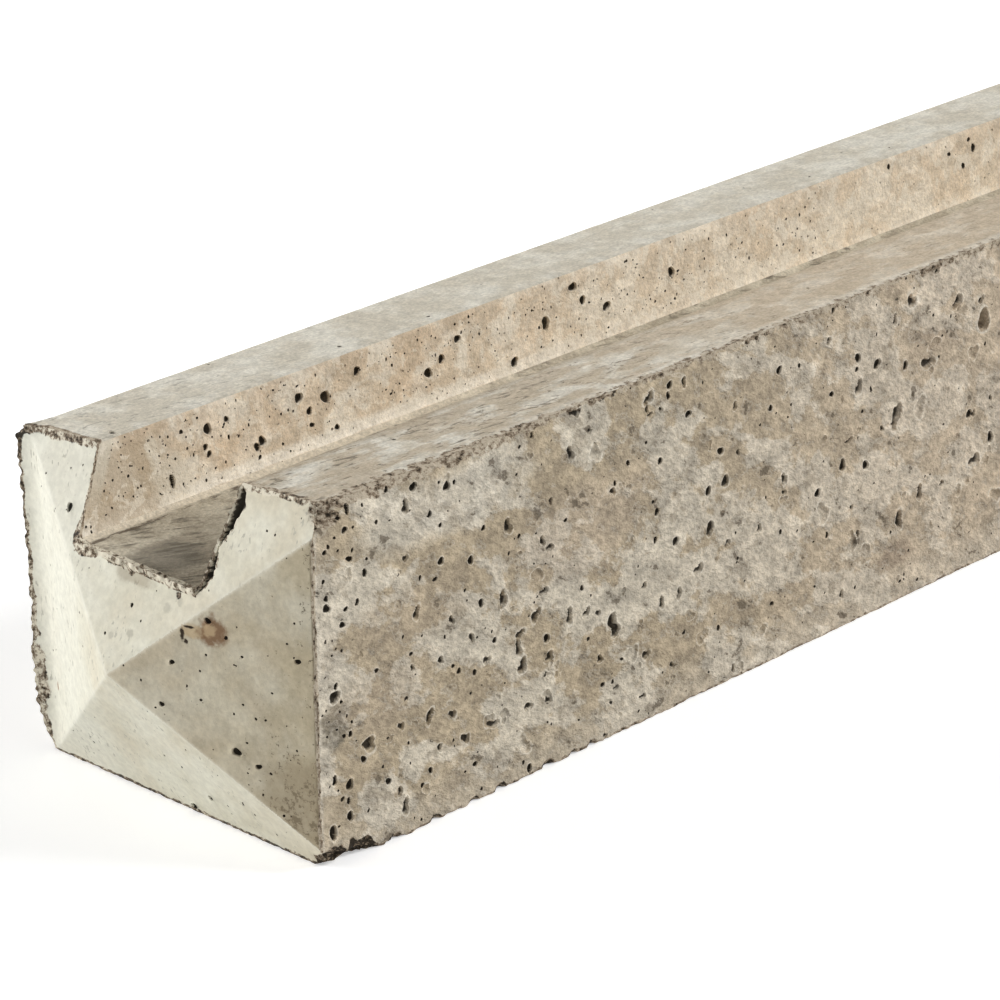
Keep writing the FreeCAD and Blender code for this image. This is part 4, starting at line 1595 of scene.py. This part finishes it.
def slot_floor(camera):
    """Grey concrete of the slot's floor, with dark drag marks along it and painted shade towards the near
    wing.
    """
    finish = Finish("slot_floor", 0.85)
    finish.start(finish.patches(10, 0.38, 0.62, 5, 0.6), (0.41, 0.36, 0.275), (0.58, 0.525, 0.415))
    # Painted shade: darker towards the near wing, which shades that side of the floor.
    finish.lay((0.22, 0.19, 0.14), finish.band(ACROSS, 16, -14), 0.6)
    streaks = finish.patches(1.7, 0.46, 0.64, 4, 0.6, stretch=(6, 1, 1), turn=(0, 0, 28))
    finish.lay((0.11, 0.095, 0.07), streaks, finish.patches(9, 0.4, 0.6, 3), 0.85)
    dashes = finish.patches(2.4, 0.46, 0.55, 4, 0.65, stretch=(3, 1, 1))
    root = finish.times(finish.band(ACROSS, 19.8, 20.8), finish.band(ACROSS, 22.6, 21.8))
    root = finish.times(root, finish.band(ALONG, -700, -790))
    finish.lay((0.11, 0.085, 0.06), dashes, root, 0.85)
    finish.lay((0.68, 0.60, 0.475), finish.band(ACROSS, 22.0, 22.8), finish.band(ALONG, -640, -790), 0.75)
    finish.grain(1.0, 0.2)
    finish.stains(camera)
    finish.weather(CRUMB_CREAM)
    return finish.done(finish.noise(2.4, 5, 0.65), 0.6)


def wing_top(camera):
    """Grey-white concrete of the wings' tops, with short dark marks along them."""
    finish = Finish("wing_top", 0.85)
    finish.start(finish.patches(13, 0.38, 0.62, 5, 0.6), (0.52, 0.465, 0.37), (0.67, 0.635, 0.55))
    near = finish.band(ACROSS, 0, -10)
    far = finish.band(ACROSS, 0, 10)
    blotches = finish.patches(9, 0.44, 0.54, 5, 0.6, stretch=(2.2, 1, 1))
    finish.lay((0.455, 0.38, 0.28), blotches, near, 0.8)
    streaks = finish.patches(2.0, 0.57, 0.63, 4, 0.62, stretch=(3.2, 1, 1), warp=1.2, turn=(0, 0, 12))
    marked = finish.patches(14, 0.36, 0.54, 3)
    calm = finish.times(far, finish.band(ALONG, -850, -730), 0.75)
    marked = finish.times(marked, finish.math("SUBTRACT", 1.0, calm))
    finish.lay((0.18, 0.155, 0.115), streaks, marked, 0.85)
    # A brown strip along the near wing's inner edge: partly the concrete's own brown, partly painted shade on
    # the rounded edge.
    finish.lay((0.36, 0.295, 0.21), finish.band(ACROSS, -31.5, -27.5), near, 0.7)
    finish.lay((0.56, 0.455, 0.33), finish.band(ALONG, -780, -640), near, 0.5)
    finish.lay((0.71, 0.68, 0.585), far, 0.3)
    # A painted highlight along the near wing's outer edge.
    finish.lay((0.73, 0.69, 0.60), finish.band(ACROSS, -50.2, -52.4), 0.5)
    finish.grain(0.9, 0.15)
    finish.grain(4.0, 0.1)
    finish.stains(camera)
    finish.weather()
    return finish.done(finish.noise(2.0, 4, 0.66), 0.6)


def moulded_side(camera):
    """Plain grey-cream concrete of the sides that lay in the mould, and of the foot."""
    finish = Finish("moulded_side", 0.85)
    finish.start(finish.patches(40, 0.25, 0.75, 6, 0.6), (0.53, 0.485, 0.395), (0.63, 0.59, 0.495))
    finish.grain(5.0, 0.09)
    finish.grain(0.9, 0.12)
    finish.lay((0.17, 0.145, 0.11), finish.specks(4.5, 0.5, 0.14), 0.7)
    finish.stains(camera)
    finish.weather()
    return finish.done(finish.noise(2.4, 4, 0.65), 0.45)


def seen_strength(tree, otherwise, seen_by_camera):
    """A strength for rays from the camera, also by way of a gloss or through glass, and for all others."""
    path = add_node(tree, "ShaderNodeLightPath").outputs
    seen = path["Is Camera Ray"]
    for ray in ("Is Glossy Ray", "Is Transmission Ray"):
        seen = add_node(tree, "ShaderNodeMath", {0: seen, 1: path[ray]}, operation="MAXIMUM").outputs[0]
    inputs = {"Value": seen, "To Min": otherwise, "To Max": seen_by_camera}
    return add_node(tree, "ShaderNodeMapRange", inputs).outputs["Result"]


def make_light():
    """Soft light from the far left, another from the front above, and a pale sky."""
    for name, direction, strength, spread in LAMPS:
        lamp = bpy.data.lights.new(name, "SUN")
        lamp.energy = strength * math.pi
        lamp.angle = math.radians(spread)
        placed(name, lamp).rotation_euler = Vector(direction).to_track_quat("Z", "Y").to_euler()
    world = bpy.data.worlds.new("studio")
    bpy.context.scene.world = world
    world.use_nodes = True
    tree = world.node_tree
    background = tree.nodes["Background"]
    fill(tree, background.inputs["Strength"], seen_strength(tree, SKY, 1.0))
    fill(tree, background.inputs["Color"], WHITE)


def make_floor():
    """A white floor that the post lies on."""
    mesh = bpy.data.meshes.new("floor")
    corners = [(-1, -1), (1, -1), (1, 1), (-1, 1)]
    places = [(along * FLOOR_REACH, across * FLOOR_REACH, 0) for along, across in corners]
    mesh.from_pydata(places, [], [(0, 1, 2, 3)])
    floor = placed("floor", mesh)
    material = bpy.data.materials.new("floor")
    material.use_nodes = True
    tree = material.node_tree
    surface = tree.nodes["Principled BSDF"]
    inputs = {
        "Base Color": (FLOOR_WHITE, FLOOR_WHITE, FLOOR_WHITE, 1.0),
        "Roughness": 1.0,
        "Specular IOR Level": 0.0,
        "Emission Color": WHITE,
        "Emission Strength": seen_strength(tree, 0.0, FLOOR_LIFT),
    }
    for name, value in inputs.items():
        fill(tree, surface.inputs[name], value)
    mesh.materials.append(material)


post = Post(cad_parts["fence_post"])
camera = Camera(post)
camera.make()
pits = Pits(camera)
for seen in SEEN_PITS:
    pits.add_seen(*seen)
for scattered in SCATTERED:
    pits.scatter(*scattered)
pits.scatter_point()
skin = Skin(post, pits)
masks = shape(skin, camera)
makers = (cast_point, dusty_point, trowelled_side, slot_wall, slot_floor, wing_top, moulded_side)
piece = make_mesh(skin, masks, {maker.__name__: maker(camera) for maker in makers})
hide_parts("fence_post")
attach(piece, "root")
make_light()
make_floor()
bpy.context.scene.view_settings.view_transform = "Standard"
